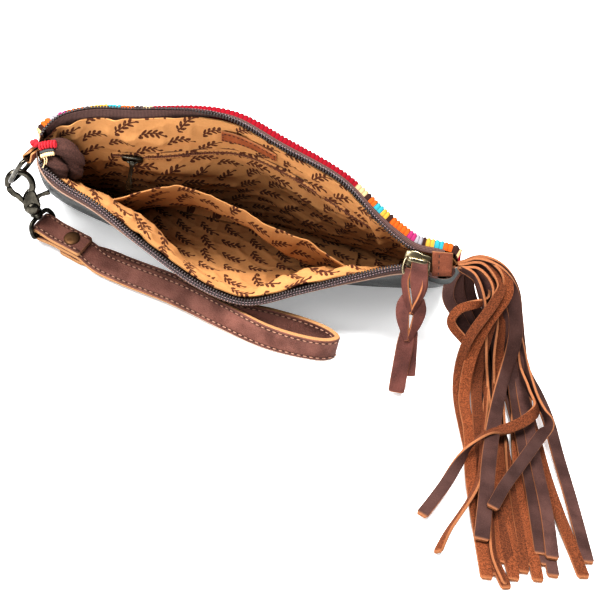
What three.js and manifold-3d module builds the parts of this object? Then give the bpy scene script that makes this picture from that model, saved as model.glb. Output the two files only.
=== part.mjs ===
// Leather wristlet, lying open on its front panel: a zipped pouch with a woven back panel, a leather
// front panel and a cotton lining, a wrist strap on a swivel snap hook, and a long thong tassel.
// Millimetres, +Z up, floor at z = 0, mouth towards -Y.

import * as THREE from 'three';
import { mergeVertices } from 'three/addons/utils/BufferGeometryUtils.js';
import Module from 'manifold-3d';

const wasm = await Module();
wasm.setup();

// Pouch
const BAG_WIDTH = 230;
const BOTTOM_Y = 88;
const BOTTOM_ROUNDING = 6;
const REST_Y = 55;
const MOUTH_HEIGHT = 58;
const MOUTH_TILT = THREE.MathUtils.degToRad(65.3);
const GAP = 0.3;
const LEATHER = 1.8;
const WOVEN = 3;
const HEM = { left: -2, right: 2, from: 0.25, to: 0.55 };
const TAPE = 0.6;
const COTTON = 1;
const TAPE_DEPTH = 9;
const LINING_DEPTH = 4.5;
const TEETH_HEIGHT = 2.4;
const TEETH_WIDTH = 1.8;

// The walls are sampled in columns along the rim and rows down from it
const COLUMNS = 22;
const ROWS = 11;
const ROW = { teethTop: 0, teethFoot: 1, rim: 2, liningTop: 3, tapeFoot: 4, liningFoot: ROWS - 1, seam: ROWS };

// Rims in the plane of the mouth, from the left corner to the right one; rise is up that plane
const BACK_RIM = [
  { x: -109, rise: 8 },
  { x: -107.8, rise: 17 },
  { x: -101.5, rise: 26 },
  { x: -87, rise: 33.5 },
  { x: -66, rise: 38 },
  { x: -35, rise: 45 },
  { x: -16, rise: 45.5 },
  { x: 9, rise: 38.5 },
  { x: 43, rise: 28.5 },
  { x: 65, rise: 14.5 },
  { x: 76, rise: 8.6 },
  { x: 86, rise: 4.8 },
  { x: 98, rise: 4.8 },
  { x: 106, rise: 4.2 },
  { x: 109.5, rise: -1.5 },
];
const FRONT_RIM = [
  { x: -109, rise: 8 },
  { x: -105.5, rise: 0.5 },
  { x: -96, rise: -6.6 },
  { x: -74, rise: -14 },
  { x: -48, rise: -26.5 },
  { x: -16, rise: -40 },
  { x: 4, rise: -43.5 },
  { x: 14, rise: -42 },
  { x: 35, rise: -31 },
  { x: 63, rise: -16.7 },
  { x: 83, rise: -8 },
  { x: 94, rise: -7.8 },
  { x: 105, rise: -7.2 },
  { x: 109.5, rise: -1.5 },
];

// What each wall's profile is drawn towards, a third and two thirds of the way down
const SEAM_PULL = { upY: 27, upZ: 36, lowY: 56, lowZ: 13 };
const FRONT_PULL = [
  { across: 0.25, upY: 7, upZ: 36, lowY: 34, lowZ: -14 },
  { across: 0.5, upY: 6, upZ: 19, lowY: 12, lowZ: -36 },
  { across: 0.75, upY: 12, upZ: 36, lowY: 34, lowZ: -14 },
];
const BACK_PULL = [
  { across: 0.25, upY: 19, upZ: 72, lowY: 46, lowZ: 33 },
  { across: 0.5, upY: 38, upZ: 72, lowY: 62, lowZ: 38 },
  { across: 0.75, upY: 23, upZ: 67, lowY: 51, lowZ: 33 },
];
const FLOOR_PRESS = 10;
const FLOOR_BLEND = 4;

// Inside of the pouch; across runs along the rim from 0 to 1, depth is millimetres below the rim
const SLIP_POCKET = { from: 0.21, to: 0.77, depth: 22, foot: 16, gape: 40, columns: 12, rows: 6 };
const POCKET_ZIP = { from: 0.19, to: 0.82, depth: 33, depthEnd: 25, height: 4, thick: 1.2, steps: 14 };
const PATCH = { from: 0.415, to: 0.545, depth: 13, depthEnd: 13, height: 6.5, thick: 1.4, steps: 6 };
const POCKET_PULL = { across: 0.235, length: 17, width: 3.2, thick: 1.4, slider: 11 };

// Zip hardware at the right end, placed in the plane of the mouth
const ZIP_END = { x: 88.2, rise: -1.5, length: 12.6, width: 8.6, plate: 1.2, room: 2.6 };
const END_TAB = { from: 95.4, to: 106.4, low: -9, high: 6, thick: 1.6, base: 1.1 };
const FOLD = { rise: 8.4, width: 9.5, thick: 2 };
const PULL = { width: 8.4, thick: 1.7, fold: 2, untwisted: 0.13, twist: 0.62, turns: 2, part: 2.4 };
const PULL_LOOP = { eye: 1.95, eyeWire: 0.7, wire: 0.75, half: 5.4, top: 2.3 };
const PULL_ROUTE = [
  { x: 89, y: -8, z: 52 },
  { x: 91, y: -15, z: 41.6 },
  { x: 92.4, y: -22, z: 30 },
  { x: 93, y: -29, z: 17 },
  { x: 93.3, y: -39.5, z: 2 },
];

// Snap hook, strap and tassel
const HOOK_EYE = new THREE.Vector3(-118.4, 14.6, 35);
const STRAP_BAR = new THREE.Vector3(-104.6, 20, 8.6);
const VIEWER = new THREE.Vector3(0, -0.82, 0.57);
const EYE = { across: 6, along: 7.9, wire: 1.6 };
const HOOK = { pivot: 14.8, base: 9.3, cheek: 2.6, slot: 1.2, gate: 0.9, thumb: 11.5 };
const RING_WIRE = 1.2;
const D_RING = { bar: new THREE.Vector3(-114.2, 5.4, 56.8), half: 7.5, drop: 4.5 };
const STRAP = { width: 12.7, thick: 3, lean: 69, rivet: 19, flap: 28, end: 14 };
const STRAP_HEADING = new THREE.Vector3(0.92, -0.39, 0).normalize();
const STRAP_ROUTE = [
  { x: -55, y: 4.6, lean: 27 },
  { x: -27, y: -7, lean: 20 },
  { x: 0, y: -19.4, lean: 10 },
  { x: 24, y: -25.5, lean: 3 },
  { x: 44, y: -26.4, lean: 0 },
  { x: 54.6, y: -24.2, lean: 0 },
  { x: 58.6, y: -20, lean: 0 },
  { x: 54.6, y: -15.8, lean: 0 },
  { x: 44, y: -12.4, lean: 0 },
  { x: 24, y: -11, lean: 3 },
  { x: 0, y: -13.8, lean: 8 },
  { x: -27, y: -1.8, lean: 20 },
  { x: -55, y: 9, lean: 30 },
];
const THONG = { width: 5.8, thick: 1.7, steps: 8 };
const TASSEL_HEAD = new THREE.Vector3(114, 1.5, 57.5);
const HEAD_RADIUS = 4;
const THONGS = [
  { reach: 20, crest: 67, waistX: 129, waistY: -20, bow: 0, tipX: 144, tipY: -154, lift: 6 },
  { reach: 11, crest: 58, waistX: 127, waistY: -20, bow: -1, tipX: 139, tipY: -132, lift: 3 },
  { reach: 3, crest: 54, waistX: 125, waistY: -24, bow: 9, tipX: 122, tipY: -144, lift: 3 },
  { reach: 26, crest: 64, waistX: 147, waistY: -16, bow: 2, tipX: 141, tipY: -128, lift: 8 },
  { reach: 30, crest: 62, waistX: 156, waistY: -20, bow: 7, tipX: 190, tipY: -128, lift: 3 },
  { reach: 29, crest: 58, waistX: 158, waistY: -26, bow: 13, tipX: 145, tipY: -107, lift: 10 },
  { reach: 18, crest: 54, waistX: 141, waistY: -48, bow: -2, tipX: 112, tipY: -124, lift: 6 },
  { reach: 15, crest: 62, waistX: 134, waistY: -30, bow: 2, tipX: 148, tipY: -152, lift: 2 },
  { reach: 22, crest: 58, waistX: 143, waistY: -40, bow: 1, tipX: 158, tipY: -147, lift: 4 },
  { reach: 24, crest: 62, waistX: 149, waistY: -34, bow: 1, tipX: 167, tipY: -148, lift: 3 },
  { reach: 25, crest: 65, waistX: 152, waistY: -30, bow: 1, tipX: 169, tipY: -130, lift: 6 },
  { reach: 27, crest: 60, waistX: 155, waistY: -28, bow: 1, tipX: 175, tipY: -136, lift: 4 },
  { reach: 28, crest: 57, waistX: 158, waistY: -24, bow: 4, tipX: 187, tipY: -139, lift: 2 },
];

const FINISH = {
  leather: { color: 0x6b4238, roughness: 0.6, metalness: 0 },
  suede: { color: 0x7a4a38, roughness: 0.85, metalness: 0 },
  grey: { color: 0x4b5050, roughness: 0.6, metalness: 0 },
  woven: { color: 0xcd283c, roughness: 0.95, metalness: 0 },
  cotton: { color: 0xc8965a, roughness: 0.9, metalness: 0 },
  tape: { color: 0x5a4a4a, roughness: 0.9, metalness: 0 },
  teeth: { color: 0x2b2023, roughness: 0.5, metalness: 0 },
  brass: { color: 0x6a6450, roughness: 0.4, metalness: 1 },
  bronze: { color: 0x6a4b30, roughness: 0.45, metalness: 1 },
};

const { lerp, clamp, smoothstep, degToRad } = THREE.MathUtils;
const UP = new THREE.Vector3(0, 0, 1);
const RIGHT = new THREE.Vector3(1, 0, 0);
const wristlet = new THREE.Group();
const mouth = new THREE.Group();

function point(x, y, z) {
  return new THREE.Vector3(x, y, z);
}

function addMesh(name, geometry, finish, parent = wristlet) {
  const mesh = new THREE.Mesh(geometry, new THREE.MeshStandardMaterial(FINISH[finish]));
  mesh.name = name;
  parent.add(mesh);
  return mesh;
}

// A triangle mesh from vertices and faces, turned so that its faces point outwards
function closedMesh(vertices, faces) {
  let volume = 0;
  const cross = point(0, 0, 0);
  for (const [a, b, c] of faces) {
    cross.crossVectors(vertices[b], vertices[c]);
    volume += vertices[a].dot(cross);
  }
  const index = faces.flatMap(([a, b, c]) => (volume > 0 ? [a, b, c] : [a, c, b]));
  const geometry = new THREE.BufferGeometry().setFromPoints(vertices);
  geometry.setIndex(index);
  return geometry;
}

// A closed plate between two surfaces, each a table of points with the same columns and rows
function plateBetween(near, far) {
  const columns = near.length;
  const rows = near[0].length;
  const vertices = [...near.flat(), ...far.flat()];
  const faces = [];
  const id = (layer, i, k) => layer * columns * rows + i * rows + k;
  const quad = (a, b, c, d) => faces.push([a, b, c], [a, c, d]);
  for (let i = 0; i + 1 < columns; i += 1) {
    for (let k = 0; k + 1 < rows; k += 1) {
      quad(id(0, i, k), id(0, i + 1, k), id(0, i + 1, k + 1), id(0, i, k + 1));
      quad(id(1, i, k), id(1, i, k + 1), id(1, i + 1, k + 1), id(1, i + 1, k));
    }
    quad(id(0, i, 0), id(1, i, 0), id(1, i + 1, 0), id(0, i + 1, 0));
    quad(id(0, i, rows - 1), id(0, i + 1, rows - 1), id(1, i + 1, rows - 1), id(1, i, rows - 1));
  }
  for (let k = 0; k + 1 < rows; k += 1) {
    quad(id(0, 0, k), id(0, 0, k + 1), id(1, 0, k + 1), id(1, 0, k));
    const end = columns - 1;
    quad(id(0, end, k), id(1, end, k), id(1, end, k + 1), id(0, end, k + 1));
  }
  return closedMesh(vertices, faces);
}

// A flat band along a route; each stop holds its place and the direction across the band
function band(stops, width, thick) {
  const near = [];
  const far = [];
  stops.forEach((stop, i) => {
    const before = stops[Math.max(i - 1, 0)].place;
    const after = stops[Math.min(i + 1, stops.length - 1)].place;
    const heading = after.clone().sub(before).normalize();
    const face = heading.cross(stop.across).normalize().multiplyScalar(thick / 2);
    const edges = [-0.5, 0.5].map((side) => stop.place.clone().addScaledVector(stop.across, side * width));
    near.push(edges.map((edge) => edge.clone().sub(face)));
    far.push(edges.map((edge) => edge.clone().add(face)));
  });
  return plateBetween(near, far);
}

// A round bar along an open curve
function wire(curve, radius, steps, sides = 6) {
  const section = new THREE.Shape();
  section.absarc(0, 0, radius, 0, 2 * Math.PI);
  return new THREE.ExtrudeGeometry(section, { extrudePath: curve, steps, curveSegments: sides / 2 });
}

function solid(geometry) {
  const bare = geometry.clone();
  bare.deleteAttribute('normal');
  bare.deleteAttribute('uv');
  const merged = mergeVertices(bare, 1e-4);
  const vertProperties = new Float32Array(merged.attributes.position.array);
  const triVerts = new Uint32Array(merged.index.array);
  return new wasm.Manifold(new wasm.Mesh({ numProp: 3, vertProperties, triVerts }));
}

function fromSolid(manifold) {
  const mesh = manifold.getMesh();
  const geometry = new THREE.BufferGeometry();
  geometry.setAttribute('position', new THREE.BufferAttribute(new Float32Array(mesh.vertProperties), 3));
  geometry.setIndex(new THREE.BufferAttribute(new Uint32Array(mesh.triVerts), 1));
  return geometry;
}

function fuse(geometries) {
  return fromSolid(geometries.map(solid).reduce((whole, piece) => whole.add(piece)));
}

function cut(geometry, tools) {
  return fromSolid(tools.map(solid).reduce((whole, tool) => whole.subtract(tool), solid(geometry)));
}

function block(x0, x1, y0, y1, z0, z1) {
  const box = new THREE.BoxGeometry(x1 - x0, y1 - y0, z1 - z0);
  return box.translate((x0 + x1) / 2, (y0 + y1) / 2, (z0 + z1) / 2);
}

// A round post along +Z between two heights
function post(radius, from, to, sides = 16) {
  const cylinder = new THREE.CylinderGeometry(radius, radius, to - from, sides);
  return cylinder.rotateX(Math.PI / 2).translate(0, 0, (from + to) / 2);
}

function smoothCurve(points, closed = false) {
  return new THREE.CatmullRomCurve3(points, closed, 'centripetal');
}

function mouthPoint(x, rise, out = 0) {
  const y = rise * Math.cos(MOUTH_TILT) - out * Math.sin(MOUTH_TILT);
  const z = MOUTH_HEIGHT + rise * Math.sin(MOUTH_TILT) + out * Math.cos(MOUTH_TILT);
  return point(x, y, z);
}

// The two walls of the pouch

function fullness(across) {
  return Math.sqrt(Math.max(Math.sin(Math.PI * across), 0));
}

// The pull of a wall's profile, from its table in the middle to the seam's at both sides
function pullAt(table, across) {
  const place = clamp((across - table[0].across) / (table[1].across - table[0].across), 0, 2);
  const row = Math.min(Math.floor(place), 1);
  const part = (1 - Math.cos((place - row) * Math.PI)) / 2;
  const full = fullness(across);
  const pull = {};
  for (const key of Object.keys(SEAM_PULL)) {
    pull[key] = lerp(SEAM_PULL[key], lerp(table[row][key], table[row + 1][key], part), full);
  }
  return pull;
}

// Leather pressed on the floor lies flat: a smooth step from free height to the floor's
function settle(z) {
  const above = z - (LEATHER + GAP / 2);
  const eased = clamp(above, 0, Infinity);
  const blended = Math.abs(above) < FLOOR_BLEND ? (above + FLOOR_BLEND) ** 2 / (4 * FLOOR_BLEND) : eased;
  return LEATHER + GAP / 2 + blended;
}

function depthOfRow(row, length) {
  const top = [-TEETH_HEIGHT - GAP, -GAP, 0, LINING_DEPTH, TAPE_DEPTH];
  if (row <= ROW.tapeFoot) return top[row];
  return lerp(TAPE_DEPTH, length, (row - ROW.tapeFoot) / (ROWS - ROW.tapeFoot));
}

// A wall as a table of points and inward normals, with the length of each column from rim to seam
function makeWall(rimTable, pulls, isFront) {
  const rim = smoothCurve(rimTable.map((stop) => mouthPoint(stop.x, stop.rise)));
  const wall = { points: [], normals: [], lengths: [] };
  for (let i = 0; i <= COLUMNS; i += 1) {
    const across = i / COLUMNS;
    const top = rim.getPointAt(across);
    const pull = pullAt(pulls, across);
    const footX = BAG_WIDTH * (across - 0.5);
    const footY = BOTTOM_Y - BOTTOM_ROUNDING * Math.abs(2 * across - 1) ** 6;
    const press = (isFront ? FLOOR_PRESS : FLOOR_BLEND) * fullness(across);
    const foot = point(footX, footY, LEATHER + GAP / 2 - press);
    const upper = point(lerp(top.x, footX, 1 / 3), pull.upY, pull.upZ);
    const lower = point(lerp(top.x, footX, 2 / 3), pull.lowY, pull.lowZ);
    const profile = new THREE.CubicBezierCurve3(top, upper, lower, foot);
    const length = profile.getLength();
    const column = [];
    for (let k = 0; k <= ROWS; k += 1) {
      const depth = depthOfRow(k, length);
      const place = profile.getPointAt(Math.max(depth, 0) / length);
      if (depth < 0) place.addScaledVector(profile.getTangentAt(0), depth);
      place.z = settle(place.z);
      column.push(place);
    }
    wall.points.push(column);
    wall.lengths.push(length);
  }
  const side = isFront ? 1 : -1;
  for (let i = 0; i <= COLUMNS; i += 1) {
    const atSeam = i === 0 || i === COLUMNS;
    wall.normals.push(wall.points[i].map((place, k) => {
      const along = atSeam ? RIGHT.clone() : wall.points[i + 1][k].clone().sub(wall.points[i - 1][k]);
      const column = wall.points[i];
      const down = column[Math.min(k + 1, ROWS)].clone().sub(column[Math.max(k - 1, 0)]);
      return along.cross(down).normalize().multiplyScalar(side);
    }));
  }
  return wall;
}

const frontWall = makeWall(FRONT_RIM, FRONT_PULL, true);
const backWall = makeWall(BACK_RIM, BACK_PULL, false);

// A layer of a wall between two columns and two rows, and between two distances inwards; with a hem,
// the top two rows of its far side are thin at the left of the rim and full at the right
function layer(wall, columns, rows, from, to, hem = null) {
  const surface = (inwards, swell) => {
    const table = [];
    for (let i = columns[0]; i <= columns[1]; i += 1) {
      const line = [];
      for (let k = rows[0]; k <= rows[1]; k += 1) {
        const grown = swell ? lerp(swell.left, swell.right, smoothstep(i / COLUMNS, swell.from, swell.to)) : 0;
        const offset = inwards - grown * Math.max(1 - (k - rows[0]) / 2, 0);
        const place = wall.points[i][k].clone().addScaledVector(wall.normals[i][k], offset);
        place.z = Math.max(place.z, 0);
        line.push(place);
      }
      table.push(line);
    }
    return table;
  };
  return plateBetween(surface(from, null), surface(to, hem));
}

// A place on a wall, a distance inwards from it
function onWall(wall, across, depth, inwards) {
  const i = clamp(Math.floor(across * COLUMNS), 0, COLUMNS - 1);
  const partI = across * COLUMNS - i;
  const length = lerp(wall.lengths[i], wall.lengths[i + 1], partI);
  let k = 0;
  while (k < ROWS - 1 && depthOfRow(k + 1, length) < depth) k += 1;
  const from = depthOfRow(k, length);
  const partK = (depth - from) / (depthOfRow(k + 1, length) - from);
  const corner = (a, b) => wall.points[a][b].clone().addScaledVector(wall.normals[a][b], inwards);
  const near = corner(i, k).lerp(corner(i + 1, k), partI);
  const far = corner(i, k + 1).lerp(corner(i + 1, k + 1), partI);
  return near.lerp(far, partK);
}

const PANEL_INSIDE = -GAP / 2;
const TAPE_INSIDE = GAP + TAPE;
const LINING_OUTSIDE = TAPE_INSIDE + GAP;
const LINING_INSIDE = LINING_OUTSIDE + COTTON;
const WHOLE_WIDTH = [0, COLUMNS];
const TAPE_COLUMNS = [1, COLUMNS - 1];
const TEETH_COLUMNS = [1, COLUMNS - 4];
const LINING_COLUMNS = [1, COLUMNS - 1];

const sides = [
  { name: 'front', wall: frontWall, finish: 'grey', thick: LEATHER, hem: null },
  { name: 'back', wall: backWall, finish: 'woven', thick: WOVEN, hem: HEM },
];
for (const { name, wall, finish, thick, hem } of sides) {
  const panelRows = [ROW.rim, ROW.seam];
  const panel = layer(wall, WHOLE_WIDTH, panelRows, PANEL_INSIDE, PANEL_INSIDE - thick, hem);
  addMesh(`${name}_panel`, panel, finish);
  const liningRows = [ROW.liningTop, ROW.liningFoot];
  addMesh(`${name}_lining`, layer(wall, LINING_COLUMNS, liningRows, LINING_OUTSIDE, LINING_INSIDE), 'cotton');
  addMesh(`${name}_tape`, layer(wall, TAPE_COLUMNS, [ROW.rim, ROW.tapeFoot], GAP, TAPE_INSIDE), 'tape');
  const teethRows = [ROW.teethTop, ROW.teethFoot];
  addMesh(`${name}_teeth`, layer(wall, TEETH_COLUMNS, teethRows, 0, TEETH_WIDTH), 'teeth');
}

// A strip that lies on a wall's lining, flat against it
function stripOnLining(wall, strip) {
  const surface = (inwards) => {
    const table = [];
    for (let i = 0; i <= strip.steps; i += 1) {
      const across = lerp(strip.from, strip.to, i / strip.steps);
      const middle = lerp(strip.depth, strip.depthEnd, i / strip.steps);
      const top = onWall(wall, across, middle - strip.height / 2, inwards);
      const foot = onWall(wall, across, middle + strip.height / 2, inwards);
      table.push([top, foot]);
    }
    return table;
  };
  const seat = LINING_INSIDE + GAP;
  return plateBetween(surface(seat), surface(seat + strip.thick));
}

// Slip pocket: it follows the front lining at its foot and both sides, and gapes at its free edge
function slipPocket() {
  const opening = point(0, 0.45, 0.9).normalize();
  const surface = (inwards) => {
    const table = [];
    for (let i = 0; i <= SLIP_POCKET.columns; i += 1) {
      const part = i / SLIP_POCKET.columns;
      const across = lerp(SLIP_POCKET.from, SLIP_POCKET.to, part);
      const gape = SLIP_POCKET.gape * Math.max(Math.sin(Math.PI * part ** 0.85), 0) ** 1.3;
      const length = frontWall.lengths[Math.round(across * COLUMNS)];
      const line = [];
      for (let k = 0; k <= SLIP_POCKET.rows; k += 1) {
        const down = k / SLIP_POCKET.rows;
        const depth = lerp(SLIP_POCKET.depth, length - SLIP_POCKET.foot, down);
        const seat = onWall(frontWall, across, depth, LINING_INSIDE + inwards);
        line.push(seat.addScaledVector(opening, gape * (1 - down) ** 1.2));
      }
      table.push(line);
    }
    return table;
  };
  return plateBetween(surface(2 * GAP), surface(2 * GAP + COTTON));
}

addMesh('slip_pocket', slipPocket(), 'cotton');
addMesh('pocket_zip', stripOnLining(backWall, POCKET_ZIP), 'tape');
addMesh('inner_patch', stripOnLining(backWall, PATCH), 'leather');

// Slider and hanging pull of the zipped pocket
const pocketSeat = LINING_INSIDE + 2 * GAP + POCKET_ZIP.thick;
const sliderHalf = POCKET_PULL.slider / 2 / BAG_WIDTH;
const sliderPart = (POCKET_PULL.across - POCKET_ZIP.from) / (POCKET_ZIP.to - POCKET_ZIP.from);
const sliderDepth = lerp(POCKET_ZIP.depth, POCKET_ZIP.depthEnd, sliderPart);
const pocketSlider = {
  from: POCKET_PULL.across - sliderHalf,
  to: POCKET_PULL.across + sliderHalf,
};
const sliderTable = (inwards) => [pocketSlider.from, pocketSlider.to].map((across) => [-2.2, 2.2].map(
  (down) => onWall(backWall, across, sliderDepth + down, inwards),
));
addMesh('pocket_slider', plateBetween(sliderTable(pocketSeat), sliderTable(pocketSeat + 2.4)), 'brass');
const pullTop = onWall(backWall, POCKET_PULL.across, sliderDepth - 0.6, pocketSeat + 2.4 + GAP + 1);
const pocketPull = addMesh('pocket_pull', fuse([
  block(-1.2, 1.2, -POCKET_PULL.thick / 2, POCKET_PULL.thick / 2, -POCKET_PULL.length, 0.8),
  block(-POCKET_PULL.width / 2, POCKET_PULL.width / 2, -0.8, 0.8, -POCKET_PULL.length, -POCKET_PULL.length + 6),
  block(-POCKET_PULL.width / 2, POCKET_PULL.width / 2, -0.8, 0.8, -1.6, 0.8),
]), 'brass');
pocketPull.position.copy(pullTop);

// Right end of the zip, in the plane of the mouth: x along the zip, y up the plane, z out of the mouth
mouth.position.set(0, 0, MOUTH_HEIGHT);
mouth.rotation.x = MOUTH_TILT;
wristlet.add(mouth);

function sliderPlate(from, to) {
  const half = ZIP_END.length / 2;
  const wide = ZIP_END.width / 2;
  const outline = new THREE.Shape();
  outline.moveTo(-half, -wide * 0.55);
  outline.quadraticCurveTo(-half * 0.85, -wide, -half * 0.3, -wide);
  outline.lineTo(half, -wide * 0.72);
  outline.lineTo(half, wide * 0.72);
  outline.lineTo(-half * 0.3, wide);
  outline.quadraticCurveTo(-half * 0.85, wide, -half, wide * 0.55);
  const plate = new THREE.ExtrudeGeometry(outline, { depth: to - from, bevelEnabled: false, curveSegments: 4 });
  return plate.translate(0, 0, from);
}

const plateFrom = ZIP_END.room / 2;
const plateTo = plateFrom + ZIP_END.plate;
const bridgeTop = plateTo + 3.7;
const bridgeBar = 1.3;
const sliderMesh = addMesh('zip_slider', fuse([
  sliderPlate(plateFrom, plateTo),
  sliderPlate(-plateTo, -plateFrom),
  block(-ZIP_END.length / 2 + 0.4, -ZIP_END.length / 2 + 3.4, -1.2, 1.2, -plateTo + 0.2, plateTo - 0.2),
  block(-4.6, -3.2, -0.7, 0.7, plateTo - 0.3, bridgeTop),
  block(3.6, 5, -0.7, 0.7, plateTo - 0.3, bridgeTop),
  block(-4.6, 5, -0.7, 0.7, bridgeTop - bridgeBar, bridgeTop),
]), 'brass', mouth);
sliderMesh.position.set(ZIP_END.x, ZIP_END.rise, 0);

const zipFrom = ZIP_END.x + ZIP_END.length / 2 + GAP;
addMesh('closed_zip', block(zipFrom, 104.6, ZIP_END.rise - 3.9, ZIP_END.rise + 3.9, -1, 0.8), 'teeth', mouth);
const tabTop = END_TAB.base + END_TAB.thick;
const endTab = block(END_TAB.from, END_TAB.to, END_TAB.low, END_TAB.high, END_TAB.base, tabTop);
addMesh('end_tab', endTab, 'leather', mouth);

// Folded end of the zip inside the left end of the mouth
const foldRoute = smoothCurve([
  point(-106.2, FOLD.rise, 0.4),
  point(-100, FOLD.rise, 1.8),
  point(-92, FOLD.rise, -1.4),
  point(-88.8, FOLD.rise, -8),
  point(-88, FOLD.rise, -15),
]);
const foldStops = foldRoute.getSpacedPoints(10).map((place) => ({ place, across: point(0, 1, 0) }));
addMesh('zip_fold', band(foldStops, FOLD.width, FOLD.thick), 'tape', mouth);

// Wire loop through the slider's bridge, and the plaited leather pull that hangs from it
const bridge = mouthPoint(ZIP_END.x + 0.2, ZIP_END.rise, bridgeTop - bridgeBar / 2);
const pullRoute = smoothCurve(PULL_ROUTE.map((stop) => point(stop.x, stop.y, stop.z)));
const pullStart = pullRoute.getPointAt(0);
const loopHang = pullStart.clone().sub(bridge).setX(0);
const loopFoot = loopHang.length();
const loopEye = new THREE.TorusGeometry(PULL_LOOP.eye, PULL_LOOP.eyeWire, 5, 10).rotateY(Math.PI / 2);
const loopCorners = [
  [-PULL_LOOP.half, -PULL_LOOP.top], [0, -PULL_LOOP.top], [PULL_LOOP.half, -PULL_LOOP.top],
  [PULL_LOOP.half, -loopFoot], [0, -loopFoot], [-PULL_LOOP.half, -loopFoot],
].map(([x, z]) => point(x, 0, z));
const loopRing = new THREE.TubeGeometry(smoothCurve(loopCorners, true), 16, PULL_LOOP.wire, 5, true);
const pullLoop = addMesh('pull_loop', fuse([loopEye, loopRing]), 'brass');
pullLoop.position.copy(bridge);
pullLoop.rotation.x = Math.atan2(loopHang.y, -loopHang.z);

// Two strips of the pull that wind about each other, then lie one on the other as tails
function pullStrip(sign, length) {
  const stops = [];
  const steps = 14;
  for (let i = 0; i <= steps; i += 1) {
    const along = (i / steps) * length;
    const place = pullRoute.getPointAt(along);
    const heading = pullRoute.getTangentAt(along);
    const side = point(-1, 0, 0).addScaledVector(heading, heading.x).normalize();
    const front = side.clone().cross(heading).normalize();
    const wound = clamp((along - PULL.untwisted) / (PULL.twist - PULL.untwisted), 0, 1);
    const angle = Math.PI * PULL.turns * wound;
    const out = front.clone().multiplyScalar(Math.cos(angle)).addScaledVector(side, Math.sin(angle));
    const across = side.clone().multiplyScalar(Math.cos(angle)).addScaledVector(front, -Math.sin(angle));
    const plaited = lerp(2 * PULL.fold, PULL.part, clamp(along * 8, 0, 1));
    const clear = lerp(plaited, 1, clamp((along - PULL.twist) * 6, 0, 1));
    place.addScaledVector(out, (sign * clear) / 2);
    place.z = Math.max(place.z, 1.4);
    stops.push({ place, across });
  }
  return band(stops, PULL.width, PULL.thick);
}

const foldAcross = point(1, 0, 0);
const pullHead = [];
for (let i = 0; i <= 8; i += 1) {
  const angle = Math.PI * (i / 8);
  const turn = point(0, -PULL.fold * Math.cos(angle), PULL.fold * Math.sin(angle));
  const place = pullStart.clone().add(turn);
  pullHead.push({ place, across: foldAcross });
}
const pullPieces = [pullStrip(1, 1), pullStrip(-1, 0.86), band(pullHead, PULL.width * 0.8, PULL.thick)];
addMesh('leather_pull', fuse(pullPieces), 'leather');

// Wrist strap: a folded flap round the ring's bar, then a loop of two legs that comes back under the flap
const lean = degToRad(STRAP.lean);
const strapBack = UP.clone().cross(STRAP_HEADING).normalize();
const strapAcross = UP.clone().multiplyScalar(Math.cos(lean)).addScaledVector(strapBack, Math.sin(lean));
const strapFace = STRAP_HEADING.clone().cross(strapAcross).normalize();
const ply = STRAP.thick + GAP;

function onFlap(along, height) {
  const place = STRAP_BAR.clone().addScaledVector(STRAP_HEADING, along);
  return place.addScaledVector(strapFace, height - ply / 2);
}

function strapStops() {
  const foldRadius = RING_WIRE + GAP + STRAP.thick / 2;
  const places = [onFlap(STRAP.flap, ply), onFlap(17, ply), onFlap(9, ply), onFlap(4, ply + 0.9)];
  for (let i = 0; i <= 6; i += 1) {
    const angle = Math.PI * (0.5 + i / 6);
    places.push(onFlap(foldRadius * Math.cos(angle), ply / 2 + foldRadius * Math.sin(angle)));
  }
  places.push(onFlap(4, -0.9), onFlap(9, 0), onFlap(17, 0), onFlap(STRAP.flap - 1, 0));
  const stops = places.map((place) => ({ place, across: strapAcross }));
  const legs = STRAP_ROUTE.map((stop, i) => {
    const before = STRAP_ROUTE[Math.max(i - 1, 0)];
    const after = STRAP_ROUTE[Math.min(i + 1, STRAP_ROUTE.length - 1)];
    const back = point(-(after.y - before.y), after.x - before.x, 0).normalize();
    if (back.y < 0) back.negate();
    const tilt = degToRad(stop.lean);
    const z = (STRAP.width / 2) * Math.cos(tilt) + (STRAP.thick / 2) * Math.sin(tilt) + 0.25;
    const across = UP.clone().multiplyScalar(Math.cos(tilt)).addScaledVector(back, Math.sin(tilt));
    return { place: point(stop.x, stop.y, z), across };
  });
  const end = [STRAP.flap - 1, 20, STRAP.end].map((along) => ({ place: onFlap(along, -ply), across: strapAcross }));
  return [...stops, ...legs, ...end];
}

// The stops joined by a smooth route, with the direction across turning evenly from stop to stop
function smoothStops(stops, perStop) {
  const route = smoothCurve(stops.map((stop) => stop.place));
  const turning = smoothCurve(stops.map((stop) => stop.across.clone().multiplyScalar(10)));
  const count = (stops.length - 1) * perStop;
  const smooth = [];
  for (let i = 0; i <= count; i += 1) {
    smooth.push({ place: route.getPoint(i / count), across: turning.getPoint(i / count).normalize() });
  }
  return smooth;
}

function alongFace(geometry, along) {
  const turn = new THREE.Quaternion().setFromUnitVectors(UP, strapFace);
  const place = onFlap(along, 0);
  return geometry.applyQuaternion(turn).translate(place.x, place.y, place.z);
}

const rivetTop = ply + STRAP.thick / 2 + GAP;
const rivetFoot = -ply - STRAP.thick / 2 - GAP;
const strapBand = band(smoothStops(strapStops(), 2), STRAP.width, STRAP.thick);
const rivetHole = alongFace(post(1.8, -12, 12, 10), STRAP.rivet);
addMesh('wrist_strap', cut(strapBand, [rivetHole]), 'leather');
const rivet = fuse([
  post(4.3, rivetTop, rivetTop + 1.1, 20),
  post(1.5, rivetFoot - 0.2, rivetTop + 0.2, 12),
  post(2.8, rivetFoot - 0.8, rivetFoot, 16),
]);
addMesh('strap_rivet', alongFace(rivet, STRAP.rivet), 'bronze');

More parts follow.
